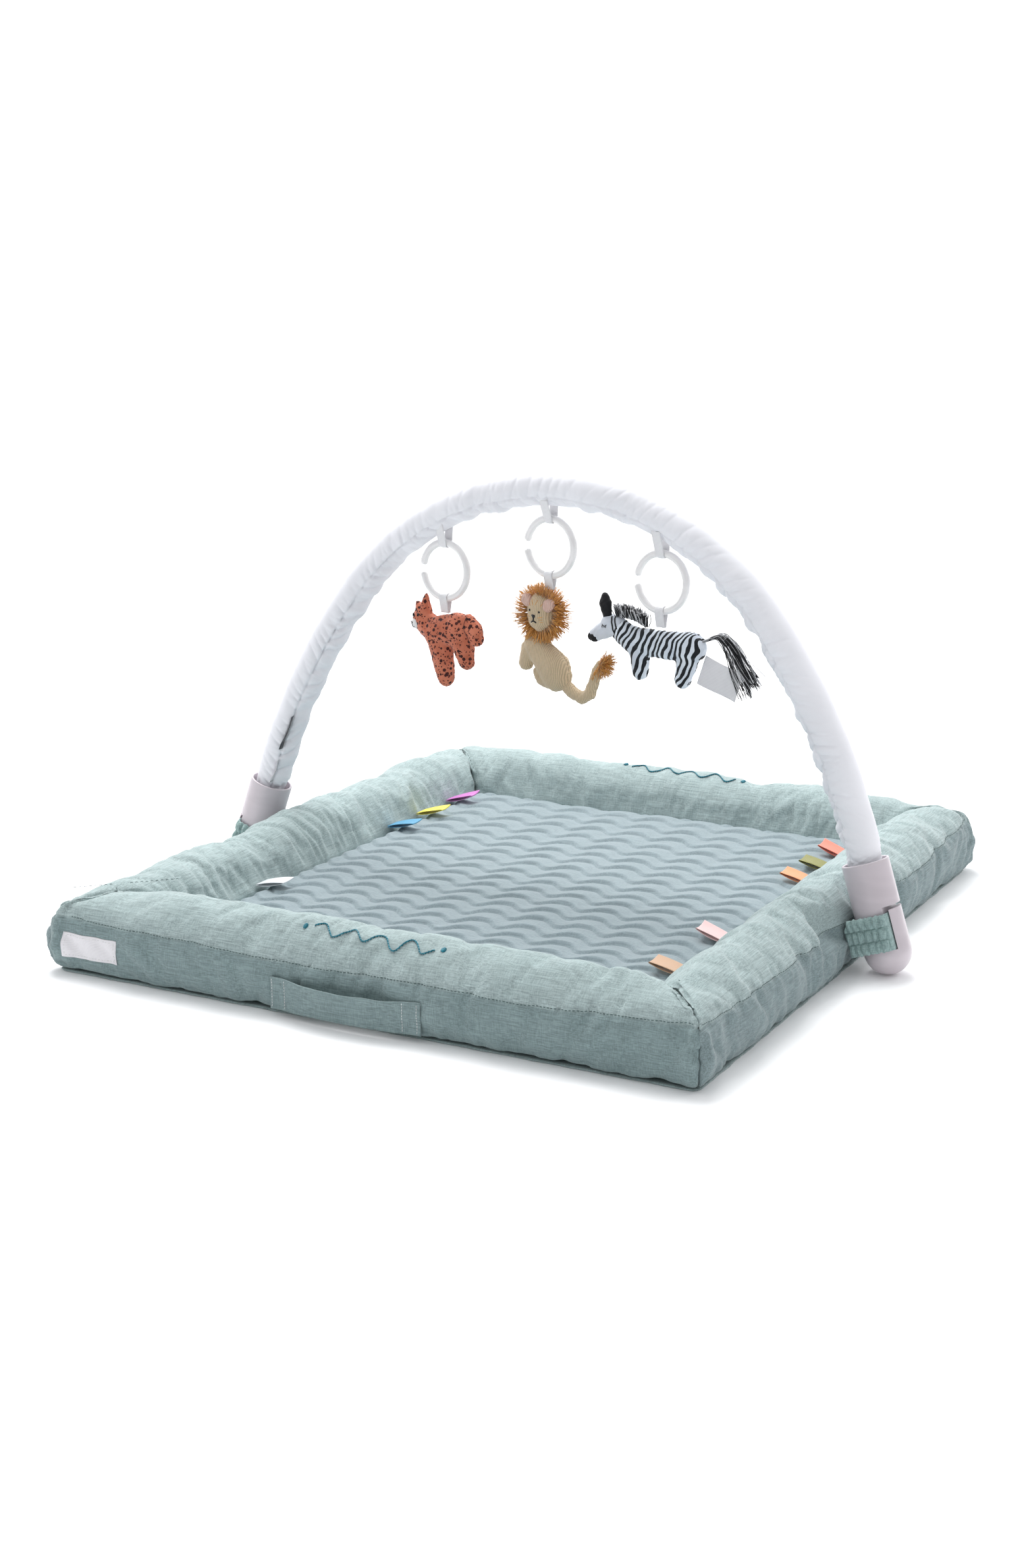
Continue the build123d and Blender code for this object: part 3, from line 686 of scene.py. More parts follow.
def make_bolster(side):
    length, origin, way, inward = bolster_sides[side]
    girth_count = 56
    rows = ceil(length / BOLSTER_CELL)
    share = np.linspace(-1, 1, rows)[:, None]
    first, last = (bolster_section(girth_count, power) for power in corner_powers[side])
    depth = first[:, 0] * (1 - share) / 2 + last[:, 0] * (1 + share) / 2
    height = first[:, 1] * (1 - share) / 2 + last[:, 1] * (1 + share) / 2
    along = share * (length / 2 + 0.0016 - depth)
    grid = origin + along[..., None] * way + depth[..., None] * inward
    grid[..., 2] = height
    points, faces = tube_mesh(rounded_corners(grid))
    material = mats["chambray_x"] if side in ("front", "back") else mats["chambray_y"]
    piece = mesh_piece("bolster_" + side, points, faces, material)
    row = np.repeat(np.arange(rows), girth_count)
    low = (height < BOLSTER_LOW + 0.006) | (depth > BOLSTER - 0.0045)
    pinned = np.flatnonzero((row == 0) | (row == rows - 1) | low.ravel())
    pinned = np.concatenate([pinned, [rows * girth_count, rows * girth_count + 1]])
    swollen(piece, pinned, 4.0, SWELL_LIMIT)
    subdivided(piece)
    sculpted_bolster(piece, side)
    return finished(piece, "mat", "chambray", "bolster_cover_" + side, "bolster_fill_" + side, fill=0.7)


bolsters = {side: make_bolster(side) for side in bolster_sides}


def surface_of(piece):
    """A tree that rays can be cast on."""
    mesh = piece.data
    return BVHTree.FromPolygons([v.co.copy() for v in mesh.vertices], [tuple(p.vertices) for p in mesh.polygons])


surfaces = {side: surface_of(piece) for side, piece in bolsters.items()}


def struck(surface, start, way, lift, miss):
    """Where a ray meets a surface, lifted off it, and the normal there; miss is what to give if it doesn't."""
    hit, normal, _, _ = surface.ray_cast(Vector(start), Vector(way))
    return miss if hit is None else (np.array(hit) + np.array(normal) * lift, np.array(normal))


def face_point(side, along, height):
    """The point on a bolster's outer face at a place along it, and the normal there."""
    _, origin, way, inward = bolster_sides[side]
    start = origin + way * along - inward * 0.06 + UP * height
    return struck(surfaces[side], start, inward, 0.0, (origin + way * along + UP * height, -inward))


def top_point(side, along, depth, lift=0.0):
    """The point on a bolster's upper side at a place along it and a depth inward."""
    _, origin, way, inward = bolster_sides[side]
    place = origin + way * along + inward * depth
    return struck(surfaces[side], place + UP * 0.2, (0, 0, -1), lift, (place + UP * BOLSTER_TOP, UP))


def stitched(spots, length=0.0024, radius=0.00035):
    """Stitches centred on spots of a seam line, given as (point, normal) pairs."""
    parts = []
    for (a, normal), (b, _) in zip(spots, spots[1:]):
        gap = np.linalg.norm(b - a)
        if gap < 1e-6 or gap > 0.012:
            continue
        middle, half = (a + b) / 2, (b - a) / gap * length / 2
        parts.append(stitch(middle - half, middle + half, normal, radius))
    return joined(parts)


STITCH_PITCH = 0.0038
for side, (length, *_) in bolster_sides.items():
    reach = length / 2 - 0.012
    places = np.arange(-reach, reach, STITCH_PITCH)
    outer_line = [face_point(side, s, float(seam_height(2 * s / length))) for s in places]
    outer_line = [(rounded_corners(p[None])[0], n) for p, n in outer_line]
    mitre_line = [top_point(side, length / 2 - d - 0.0016, d) for d in np.arange(0.014, 0.097, STITCH_PITCH)]
    seam = assembled("seam_stitches_" + side, [stitched(outer_line), stitched(mitre_line)], "seam_thread")
    finished(seam, "mat", "chambray")

# ---------------------------------------------------------------- mat: base and quilted panel

BASE_RADIUS = CORNER + 0.002


def base_ring(inset, height, count=720):
    """A loop of points round the base panel's plan, drawn in by inset."""
    half_x, half_y = base_high.x - inset, base_high.y - inset
    radius = max(BASE_RADIUS - inset, 0.002)
    straight_x, straight_y = 2 * (half_x - radius), 2 * (half_y - radius)
    arc = radius * pi / 2
    total = 2 * (straight_x + straight_y) + 4 * arc
    runs = ((straight_x, -1, -1), (straight_y, 1, -1), (straight_x, 1, 1), (straight_y, -1, 1))
    loop = []
    for at in np.arange(count) * total / count:
        for turn, (straight, ox, oy) in enumerate(runs):
            way = np.array([cos(turn * pi / 2), sin(turn * pi / 2)])
            centre = np.array([ox * (half_x - radius), oy * (half_y - radius)])
            out = np.array([way[1], -way[0]])
            if at <= straight:
                loop.append([*(centre + out * radius + way * at), height])
                break
            at -= straight
            if at <= arc:
                a = at / radius
                centre = centre + way * straight
                loop.append([*(centre + out * radius * cos(a) + way * radius * sin(a)), height])
                break
            at -= arc
    return np.array(loop[:count] + [loop[-1]] * (count - len(loop)))


HEM_INSET = 0.010
base_profile = [(0.12, 0.0005), (0.02, 0.0002), (0.004, 0.0), (0.0012, 0.0004),
                (0.0, 0.0014), (0.0006, 0.0026), (0.004, 0.0030), (0.02, 0.0028)]
base_rings = np.array([base_ring(inset + HEM_INSET, height) for inset, height in base_profile])
round_the_hem = np.arange(base_rings.shape[1]) * 0.0044
flutter = 0.0009 * ripple(round_the_hem, 0.05, 11) + 0.0005 * ripple(round_the_hem, 0.013, 12)
for k, share in enumerate((0, 0.1, 0.4, 0.8, 1.0, 1.0, 0.6, 0.1)):
    outward = base_rings[k] - base_rings[k] * [0.95, 0.95, 1]
    outward /= np.linalg.norm(outward, axis=1, keepdims=True)
    base_rings[k] += outward * (flutter * share)[:, None]
points, faces = tube_mesh(flared_corner(base_rings[::-1]))
base = mesh_piece("base_hem", points, faces, mats["base"])
finished(base, "mat", "chambray", "base_panel")

CHANNEL_WAVE = 0.0555
CHANNEL_SWING = 0.0075
CHANNEL_PUFF = 0.0044
CHANNEL_WIDENING = 0.508  # per metre towards the back
CHANNELS_PER_FOLD = 60.6


def quilt_height(x, y):
    """The quilted panel's top: wavy channels, wider to the back, that puff up between their stitch lines."""
    drift = 0.004 * ripple(x + 0.3 * y, 0.37, 21) + 0.002 * ripple(y, 0.16, 22)
    phase = 2 * pi * (x + 0.0035 * ripple(y, 0.2, 23) + 0.008) / CHANNEL_WAVE
    swing = CHANNEL_SWING * (np.sin(phase) + 0.22 * np.cos(2 * phase))
    place = CHANNELS_PER_FOLD * np.log(1 + CHANNEL_WIDENING * (y + drift - swing))
    across = place - np.floor(place)
    puff = (1 - across) ** 0.55 * np.minimum(across / 0.16, 1) ** 0.8 * 1.12
    size = 0.86 + 0.14 * ripple(x, 0.11, 24) * np.sin(1.7 * np.floor(place)) + 0.16 * np.sin(phase)
    height = QUILT_TOP - 0.0055 + CHANNEL_PUFF * puff * size
    height += 0.0012 * ripple(x, 0.29, 25) + 0.0012 * ripple(y, 0.33, 26)
    return height


half_x, half_y = panel_high.x + 0.003, panel_high.y + 0.003
grid_x = np.linspace(-half_x, half_x, 300)
grid_y = np.linspace(-half_y, half_y, 480)
plan_x, plan_y = np.meshgrid(grid_x, grid_y)
edge = np.minimum(half_x - np.abs(plan_x), half_y - np.abs(plan_y))
top = quilt_height(plan_x, plan_y)
tuck = ramp(edge, 0.0, 0.016)
top = (QUILT_TOP - 0.012) * (1 - tuck) + top * tuck
bottom = np.full_like(top, panel_low.z - 0.012)
bottom = np.minimum(bottom, top - 0.002)
upper = np.stack([plan_x, plan_y, top], axis=2)
lower = np.stack([plan_x, plan_y, bottom], axis=2)
points, faces = slab_mesh(upper, lower)
quilt = mesh_piece("quilted_panel_cover", points, faces, mats["quilt"])
finished(quilt, "mat", "quilt", "quilted_panel", "pad_wadding", fill=0.5)

# ---------------------------------------------------------------- mat: handle, label, motif, tags

handle_low, handle_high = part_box("carry_handle")
HANDLE_BULGE = 0.011
handle_rows, handle_columns = 90, 22
share = np.linspace(-1, 1, handle_rows)[:, None]
rise = np.linspace(0, 1, handle_columns)[None, :]
handle_x = (handle_low.x + handle_high.x) / 2 + share * (handle_high.x - handle_low.x) / 2 + 0 * rise
handle_z = handle_low.z + rise * (handle_high.z - handle_low.z) + 0 * share
handle_z = handle_z - 0.0026 * (1 - share ** 2) * rise + 0.0008 * ripple(handle_x, 0.045, 31) * rise
skin = np.array([[face_point("front", x, min(max(z, 0.012), 0.075))[0][1] for x, z in zip(xs, zs)]
                 for xs, zs in zip(handle_x[::3], handle_z[::3])])
chord = np.minimum(skin[0].mean(), skin[-1].mean())
bow = np.clip(1 - (np.abs(share) / 0.86) ** 2.4, 0, 1) * (0.55 + 0.45 * rise)
handle_y = chord - 0.0012 - HANDLE_BULGE * bow + 0.0006 * ripple(handle_x, 0.03, 32) * bow
near = np.array([np.interp(np.arange(handle_rows), np.arange(0, handle_rows, 3), skin[:, j])
                 for j in range(handle_columns)]).T
handle_y = np.minimum(handle_y, near - 0.0010)
outside = np.stack([handle_x, handle_y - 0.0014, handle_z], axis=2)
hem = 0.0006 * (bell(rise, 0.06, 0.05) + bell(rise, 0.94, 0.05)) + 0 * share
outside[..., 1] -= hem
inside = np.stack([handle_x, handle_y, handle_z], axis=2)
points, faces = slab_mesh(outside, inside)
# The handle strip takes the front faces' painted shade colour.
handle = mesh_piece("carry_handle_strip", points, faces, mats["shaded_side_x"])
finished(handle, "mat", "chambray", "carry_handle")

handle_stitches = []
for end in (-1, 1):
    for place in (0.015, 0.105):
        row = int((0.5 + end * (0.5 - place)) * (handle_rows - 1))
        spots = []
        for z in np.arange(handle_low.z + 0.002, handle_high.z - 0.001, 0.0030):
            k = np.clip((z - handle_low.z) / (handle_high.z - handle_low.z), 0, 1) * (handle_columns - 1)
            y = np.interp(k, np.arange(handle_columns), outside[row, :, 1])
            spots.append((np.array([outside[row, 0, 0], y, z]), FRONTWARDS))
        handle_stitches.append(stitched(spots, 0.0020, 0.0003))
finished(assembled("handle_stitches", handle_stitches, "white_thread"), "mat", "chambray")

label_low, label_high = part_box("front_label")
label_x = np.linspace(label_low.x, label_high.x, 44)
label_z = np.linspace(label_low.z, label_high.z, 20)
label_front = np.zeros((len(label_x), len(label_z), 3))
for i, x in enumerate(label_x):
    for j, z in enumerate(label_z):
        label_front[i, j] = (x, face_point("front", x, z)[0][1] - 0.0007, z)
corner_curl = bell(label_front[..., 0], label_high.x, 0.006) * bell(label_front[..., 2], label_low.z, 0.006)
label_front[..., 1] -= 0.0012 * corner_curl
label_back = label_front + np.array([0, 0.0006, 0])
points, faces = slab_mesh(label_front, label_back)
label = mesh_piece("front_label_patch", points, faces, mats["label"])
finished(label, "mat", "label_satin", "front_label")
border = []
for i_range, j_range in (((2, 41), (2, 2)), ((2, 41), (17, 17)), ((2, 2), (2, 17)), ((41, 41), (2, 17))):
    start, end = label_front[i_range[0], j_range[0]], label_front[i_range[1], j_range[1]]
    steps = max(2, int(np.linalg.norm(end - start) / 0.0034))
    spots = []
    for t in np.linspace(0, 1, steps):
        i = i_range[0] + t * (i_range[1] - i_range[0])
        j = j_range[0] + t * (j_range[1] - j_range[0])
        spots.append((label_front[int(round(i)), int(round(j))], FRONTWARDS))
    border.append(stitched(spots, 0.0022, 0.00025))
finished(assembled("label_stitches", border, "white_thread"), "mat", "label_satin")


def motif(side, middle, reach, depth):
    """A generic embroidered line of waves and dots on a bolster's top."""
    parts = []
    for along in np.arange(-reach, reach, 0.0022):
        offsets = []
        for s in (along, along + 0.0024):
            swing = 0.006 * sin(2 * pi * s / 0.034)
            offsets.append(top_point(side, middle + s, depth + swing, 0.0003)[0])
        normal = top_point(side, middle + along, depth)[1]
        parts.append(stitch(offsets[0], offsets[1], normal, 0.00085))
    for k in (-1, 1):
        point, normal = top_point(side, middle + k * (reach + 0.011), depth, 0.0002)
        side_way = unit(np.cross(normal, [0.2, 0.1, 1.0]))
        for j in range(-2, 3):
            shift = np.cross(normal, side_way) * j * 0.0011
            half = side_way * 0.0028 * cos(j * 0.5)
            parts.append(stitch(point + shift - half, point + shift + half, normal, 0.0008))
    finished(assembled("wave_motif_" + side, parts, "teal_thread"), "mat", "chambray")


motif("front", 0.005, 0.068, 0.030)
motif("back", -0.005, 0.070, 0.056)


TAG_DROP = -0.0015


def folded_tag(colour, curl):
    """A folded ribbon sewn in between a bolster and the quilted panel."""
    node = "tag_" + colour
    low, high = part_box(node)
    side = 1 if low.x > 0 else -1
    root = high.x if side > 0 else low.x
    length = high.x - low.x
    width = high.y - low.y
    middle = (low.y + high.y) / 2
    gap = 0.0011
    count = 30
    t = np.linspace(0, 1, count)
    out = t * (length - gap)
    rise = 0.004 * t + 0.006 * t ** 2 * curl
    upper_line = np.stack([out, rise + gap + 0.0016 * np.sin(pi * t)], axis=1)
    lower_line = np.stack([out, rise - gap * 0.2 - 0.0010 * np.sin(pi * t)], axis=1)[::-1]
    centre = (upper_line[-1] + lower_line[0]) / 2
    half = np.linalg.norm(upper_line[-1] - lower_line[0]) / 2
    bend = [centre + half * np.array([sin(a), cos(a)]) for a in np.linspace(0.3, pi - 0.3, 8)]
    line = np.concatenate([upper_line, bend, lower_line])
    columns = 12
    v = np.linspace(-0.5, 0.5, columns)
    twist = 0.10 * curl
    grid = np.zeros((len(line), columns, 3))
    for i, (o, r) in enumerate(line):
        share = o / length
        grid[i, :, 0] = root - side * (o - 0.004)
        grid[i, :, 1] = middle + v * width * 0.97 + 0.12 * curl * o
        cupped = 0.002 * share * (4 * v ** 2 - 0.5) * abs(curl)
        grid[i, :, 2] = low.z + TAG_DROP + r + v * width * twist * share + cupped
    tag = thin_sheet("ribbon_" + colour, grid, 0.0002, "ribbon_" + colour)
    finished(tag, "mat", "ribbon_" + colour, node)


tag_curls = {"blue": 0.5, "yellow": 0.7, "magenta": 0.9, "white": 0.4, "coral": 1.0,
             "olive": 0.5, "orange": 0.6, "pink": 0.9, "tan": 0.5}
for colour, curl in tag_curls.items():
    folded_tag(colour, curl)

# ---------------------------------------------------------------- arch

ARCH_UP = np.array([0.0, sin(LEAN), cos(LEAN)])
ARCH_FRONT = np.array([0.0, -cos(LEAN), sin(LEAN)])
ARCH_ORIGIN = np.array([0.0, PIVOT.y, PIVOT.z])


def arch_samples(step):
    """Points, directions and distances along the arch's middle line, from the right foot to the left."""
    crown_turn = pi - 2 * (LEG_TILT + SHOULDER_TURN)
    crown_half = (FOOT_SPREAD - LEG_LENGTH * sin(LEG_TILT)
                  - SHOULDER_RADIUS * (cos(LEG_TILT) - cos(LEG_TILT + SHOULDER_TURN)))
    crown_radius = crown_half / cos(LEG_TILT + SHOULDER_TURN)
    shoulder = SHOULDER_RADIUS * SHOULDER_TURN
    crown = crown_radius * crown_turn
    stops = np.cumsum([LEG_LENGTH, shoulder, crown, shoulder, LEG_LENGTH])
    count = int(stops[-1] / step)
    at = np.linspace(0, stops[-1], count + 1)
    bends = np.select(
        [at < stops[0], at < stops[1], at < stops[2], at < stops[3]],
        [0.0, 1 / SHOULDER_RADIUS, 1 / crown_radius, 1 / SHOULDER_RADIUS],
        0.0,
    )
    pace = at[1] - at[0]
    heading = pi / 2 + LEG_TILT + np.concatenate([[0], np.cumsum((bends[1:] + bends[:-1]) / 2 * pace)])
    heading = pi / 2 + LEG_TILT + (heading - heading[0]) * (pi - 2 * LEG_TILT) / (heading[-1] - heading[0])
    middle = (heading[1:] + heading[:-1]) / 2
    u = FOOT_SPREAD + np.concatenate([[0], np.cumsum(np.cos(middle) * pace)])
    v = np.concatenate([[0], np.cumsum(np.sin(middle) * pace)])
    u += (-FOOT_SPREAD - u[-1]) * at / at[-1]
    v -= v[-1] * at / at[-1]
    points = ARCH_ORIGIN + u[:, None] * np.array([1.0, 0, 0]) + v[:, None] * ARCH_UP
    ways = np.cos(heading)[:, None] * np.array([1.0, 0, 0]) + np.sin(heading)[:, None] * ARCH_UP
    return at, points, ways


ARCH_STEP = 0.0014
arch_at, arch_points, arch_ways = arch_samples(ARCH_STEP)
arch_total = arch_at[-1]
arch_outs = np.cross(arch_ways, ARCH_FRONT)
arch_outs *= np.sign(arch_outs[len(arch_outs) // 2] @ UP)
SEAM_ANGLE = radians(122)  # round the sleeve from its outer side, through its front


ring_wires = [joints[f"ring_{place}_swing"]["pos_m"] for place in ("left", "centre", "right")]


def sleeve_grid():
    """Loops of points round the sleeve, from cup to cup: gathered to its seam, pleated in the cups."""
    chosen = (arch_at >= SLEEVE_START) & (arch_at <= arch_total - SLEEVE_START)
    at = arch_at[chosen][:, None]
    angle = np.linspace(0, 2 * pi, 88, endpoint=False)[None, :]
    from_seam = angle - SEAM_ANGLE
    leg = np.minimum(at, arch_total - at)
    sway = at + 0.004 * from_seam * np.sin(at * 40)
    above = np.exp(-((np.clip(-from_seam, 0, None) / 1.05) ** 2)) * (from_seam <= 0)
    below = np.exp(-((np.clip(from_seam, 0, None) / 1.5) ** 2)) * (from_seam > 0)
    gathers = above * 0.0046 * fold(sway - 0.010 * from_seam, 0.0145, 41, 2.0) * (0.6 + 0.4 * ripple(at, 0.06, 40))
    gathers = gathers + below * 0.0052 * fold(sway + 0.012 * from_seam, 0.020, 42, 1.7)
    gathers = gathers + (above + below) * 0.0012 * fold(sway, 0.0085, 43, 2.0)
    strength = 0.75 + 0.25 * ripple(at, 0.17, 44)
    lower_half = ramp(-np.cos(angle), -0.5, 0.7)
    puffs = (0.0005 * ripple(at + 0.01 * np.sin(angle), 0.075, 45)
             + 0.0006 * lower_half * ripple(at + 0.02 * np.cos(angle), 0.034, 46))
    scallop = 0.0026 * bell(angle, radians(175), 0.8) * ripple(at, 0.040, 47)
    seam = -0.0022 * bell(from_seam, 0, 0.055)
    radius = SLEEVE_RADIUS + 0.0021 + gathers * strength + puffs + scallop + seam
    cuff = 1 - ramp(leg, CUP_RIM - 0.004, CUP_RIM + 0.022)
    pleats = 0.0012 * cuff * ripple(angle + 3 * np.sin(at * 60), 0.7, 48)
    radius = radius * (1 - 0.13 * cuff) + pleats
    radius = np.where(leg < CUP_RIM + 0.002, np.minimum(radius, FOOT_RADIUS - 0.0045), radius)
    over_ring = np.max([bell(arch_points[chosen][:, 0], wire[0], 0.030) for wire in ring_wires], axis=0)[:, None]
    radius = radius - np.clip(radius - SLEEVE_RADIUS - 0.0004, 0, None) * over_ring * ramp(-np.cos(angle), 0.1, 0.6)
    centre = arch_points[chosen][:, None, :]
    out = arch_outs[chosen][:, None, :]
    ring = centre + radius[..., None] * (np.cos(angle)[..., None] * out + np.sin(angle)[..., None] * ARCH_FRONT)
    return ring


sleeve = mesh_piece("gathered_sleeve", *tube_mesh(sleeve_grid()), mats["sleeve"])
finished(sleeve, "arch", "sleeve_cotton", "arch_sleeve", "arch_foam", fill=0.6)
sleeve_surface = surface_of(sleeve)


def sleeve_point(index, angle, lift):
    """A point over the sleeve at an arch sample and an angle round it, and the way out there."""
    way = cos(angle) * arch_outs[index] + sin(angle) * ARCH_FRONT
    hit = sleeve_surface.ray_cast(Vector(arch_points[index] + way * 0.05), Vector(-way))[0]
    return np.array(hit) + way * lift, way


cad_finishes = {"arch_tube": "tube", "foot_left": "foot", "foot_right": "foot",
                "ring_left": "ring", "ring_centre": "ring", "ring_right": "ring"}
for node, material in cad_finishes.items():
    slots = frame["nodes"][node].data.materials
    slots.clear()
    slots.append(mats[material])


def sleeve_label(name, node, place, material, slot, width, reach):
    """A label sewn in the sleeve's seam at a distance from the left foot, standing off its front."""
    index = len(arch_at) - int(place / ARCH_STEP)
    rows, columns = 26, 10
    grid = np.zeros((rows, columns, 3))
    for i, share in enumerate(np.linspace(0, 1, rows)):
        at = int(index + (share - 0.5) * width / ARCH_STEP)
        base_point, way = sleeve_point(at, SEAM_ANGLE, 0.0001)
        lean = unit(way + 0.9 * ARCH_FRONT)
        for j, out in enumerate(np.linspace(0, reach, columns)):
            droop = 0.002 * (out / reach) ** 2 * sin(share * pi * 1.5)
            grid[i, j] = base_point + lean * out - arch_outs[at] * droop
    label = thin_sheet(name, grid, 0.00025, material)
    finished(label, "arch", slot, node)


sleeve_label("side_label", "side_tag", 0.171, "black_tape", "black_ribbon", 0.044, 0.009)
sleeve_label("care_label_strip", "care_label", 0.119, "label", "label_satin", 0.030, 0.008)

# ---------------------------------------------------------------- elastic straps


def strap_piece(side, name):
    """A shirred band of three puffs from the mat round the cup's lower part and through its slot."""
    axis = np.array([-side * sin(LEG_TILT), cos(LEG_TILT) * sin(LEAN), cos(LEG_TILT) * cos(LEAN)])
    outward = np.array([side * cos(LEG_TILT), sin(LEG_TILT) * sin(LEAN), sin(LEG_TILT) * cos(LEAN)])
    back = np.cross(axis, outward) * side
    centre = np.array([side * FOOT_SPREAD, PIVOT.y, PIVOT.z])
    near = FOOT_RADIUS + 0.0021
    slot = 0.0158
    start = -0.030
    corner = 0.005
    route = [(start, -near), (slot - corner, -near), (slot, -near + corner), (slot, near - corner),
             (slot - corner, near), (start, near)]
    line = []
    for (a, b), (c, d) in zip(route, route[1:]):
        steps = max(3, int(np.hypot(c - a, d - b) / 0.0007))
        line += [(a + (c - a) * t, b + (d - b) * t) for t in np.linspace(0, 1, steps, endpoint=False)]
    line = np.array(line + [route[-1]])
    for _ in range(6):
        line[1:-1] = 0.25 * line[:-2] + 0.5 * line[1:-1] + 0.25 * line[2:]
    pace = np.concatenate([[0], np.cumsum(np.linalg.norm(np.diff(line, axis=0), axis=1))])
    rise = np.linspace(0.0035, 0.0425, 52)
    share = (rise - rise[0]) / (rise[-1] - rise[0])
    turn = np.gradient(line, axis=0)
    turn /= np.linalg.norm(turn, axis=1, keepdims=True)
    normal = np.stack([turn[:, 1], -turn[:, 0]], axis=1)
    free = ramp(np.abs(line[:, 1]), near - 0.006, near - 0.0005)
    p, h = pace[:, None], share[None, :]
    puff = np.abs(np.sin(3 * pi * h)) ** 0.6
    band = np.floor(np.clip(h * 3, 0, 2.999))
    drifted = p + 0.0012 * ripple(p, 0.03, 50) + 0.0024 * band + 0.0010 * np.sin(9 * h)
    gather = np.abs(np.sin(pi * drifted / 0.0074)) ** 0.7 - 0.75
    fine = ripple(p + 0.002 * band, 0.0031, 55)
    out = free[:, None] * (0.0034 * puff + 0.0036 * gather * (0.55 + 0.45 * puff) + 0.0005 * fine)
    frill = free[:, None] * 0.0009 * ripple(p, 0.006, 57) * (bell(h, 0, 0.08) - bell(h, 1, 0.08))

    def placed(offset):
        local_u = line[:, 0][:, None] + normal[:, 0][:, None] * offset
        local_v = line[:, 1][:, None] + normal[:, 1][:, None] * offset
        up = rise[None, :] + frill
        return (centre + local_u[..., None] * outward + local_v[..., None] * back * side + up[..., None] * axis)

    outer_grid, inner_grid = placed(0.0009 + np.maximum(out, -0.0002)), placed(-0.0009 + 0 * out)
    points, faces = slab_mesh(outer_grid, inner_grid)
    keep_inside = side * points[:, 0] < HALF_WIDTH - 0.004
    points[keep_inside, 0] = side * (HALF_WIDTH - 0.004)
    strap = mesh_piece(f"strap_{name}_band", points, faces, mats["strap"])
    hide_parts("strap_" + name)
    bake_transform(strap)


strap_piece(-1, "left")
strap_piece(1, "right")

# ---------------------------------------------------------------- ribbon loops on the rings


def tape_loop(name, node, body, wire, ends, upward):
    """A tape folded round a ring's wire, its two ends sewn in above it, or down in a toy."""
    turn = -1 if upward else 1
    bend = [wire + (RING_WIRE + 0.0011) * (cos(a) * ACROSS + turn * sin(a) * UP) for a in np.linspace(0, pi, 15)]
    line = [ends[0] + (bend[0] - ends[0]) * t for t in np.linspace(0, 1, 12, endpoint=False)]
    line += bend
    line += [bend[-1] + (ends[1] - bend[-1]) * t for t in np.linspace(0, 1, 12)][1:]
    line = np.array(line)
    columns = np.linspace(-0.5, 0.5, 9)
    pinch = 1 - 0.16 * bell(np.arange(len(line)), len(line) / 2, 5)
    grid = line[:, None, :] + (columns[None, :] * pinch[:, None] * RIBBON_WIDTH)[..., None] * ALONG
    cupped = 0.0008 * (4 * columns ** 2 - 0.5)
    grid = grid + (cupped[None, :] * np.ones(len(line))[:, None])[..., None] * UP * -turn * 0.5
    tape = thin_sheet(name, grid, 0.0003, "tape")
    finished(tape, body, "white_ribbon", node)


for place in ("left", "centre", "right"):
    wire = np.array(joints[f"ring_{place}_swing"]["pos_m"])
    index = int(np.argmin(np.abs(arch_points[:, 0] - wire[0])))
    front_end, _ = sleeve_point(index, SEAM_ANGLE + 0.12, 0.0004)
    back_end, _ = sleeve_point(index, radians(200), -0.001)
    front_end = front_end + ALONG * ((wire - front_end) @ ALONG)
    back_end = back_end + ALONG * ((wire - back_end) @ ALONG)
    tape_loop("hanging_tape_" + place, "hang_loop_" + place, "arch", wire, (front_end, back_end), True)

# ---------------------------------------------------------------- toys


def toy_point(toy, u, z, w=0.0):
    """A point of a toy's upright plane, in millimetres from its ring's wire; w is towards the front."""
    origin = np.array(joints[toy + "_swing"]["pos_m"])
    return origin + ALONG * u * 0.001 + UP * z * 0.001 + ACROSS * w * 0.001


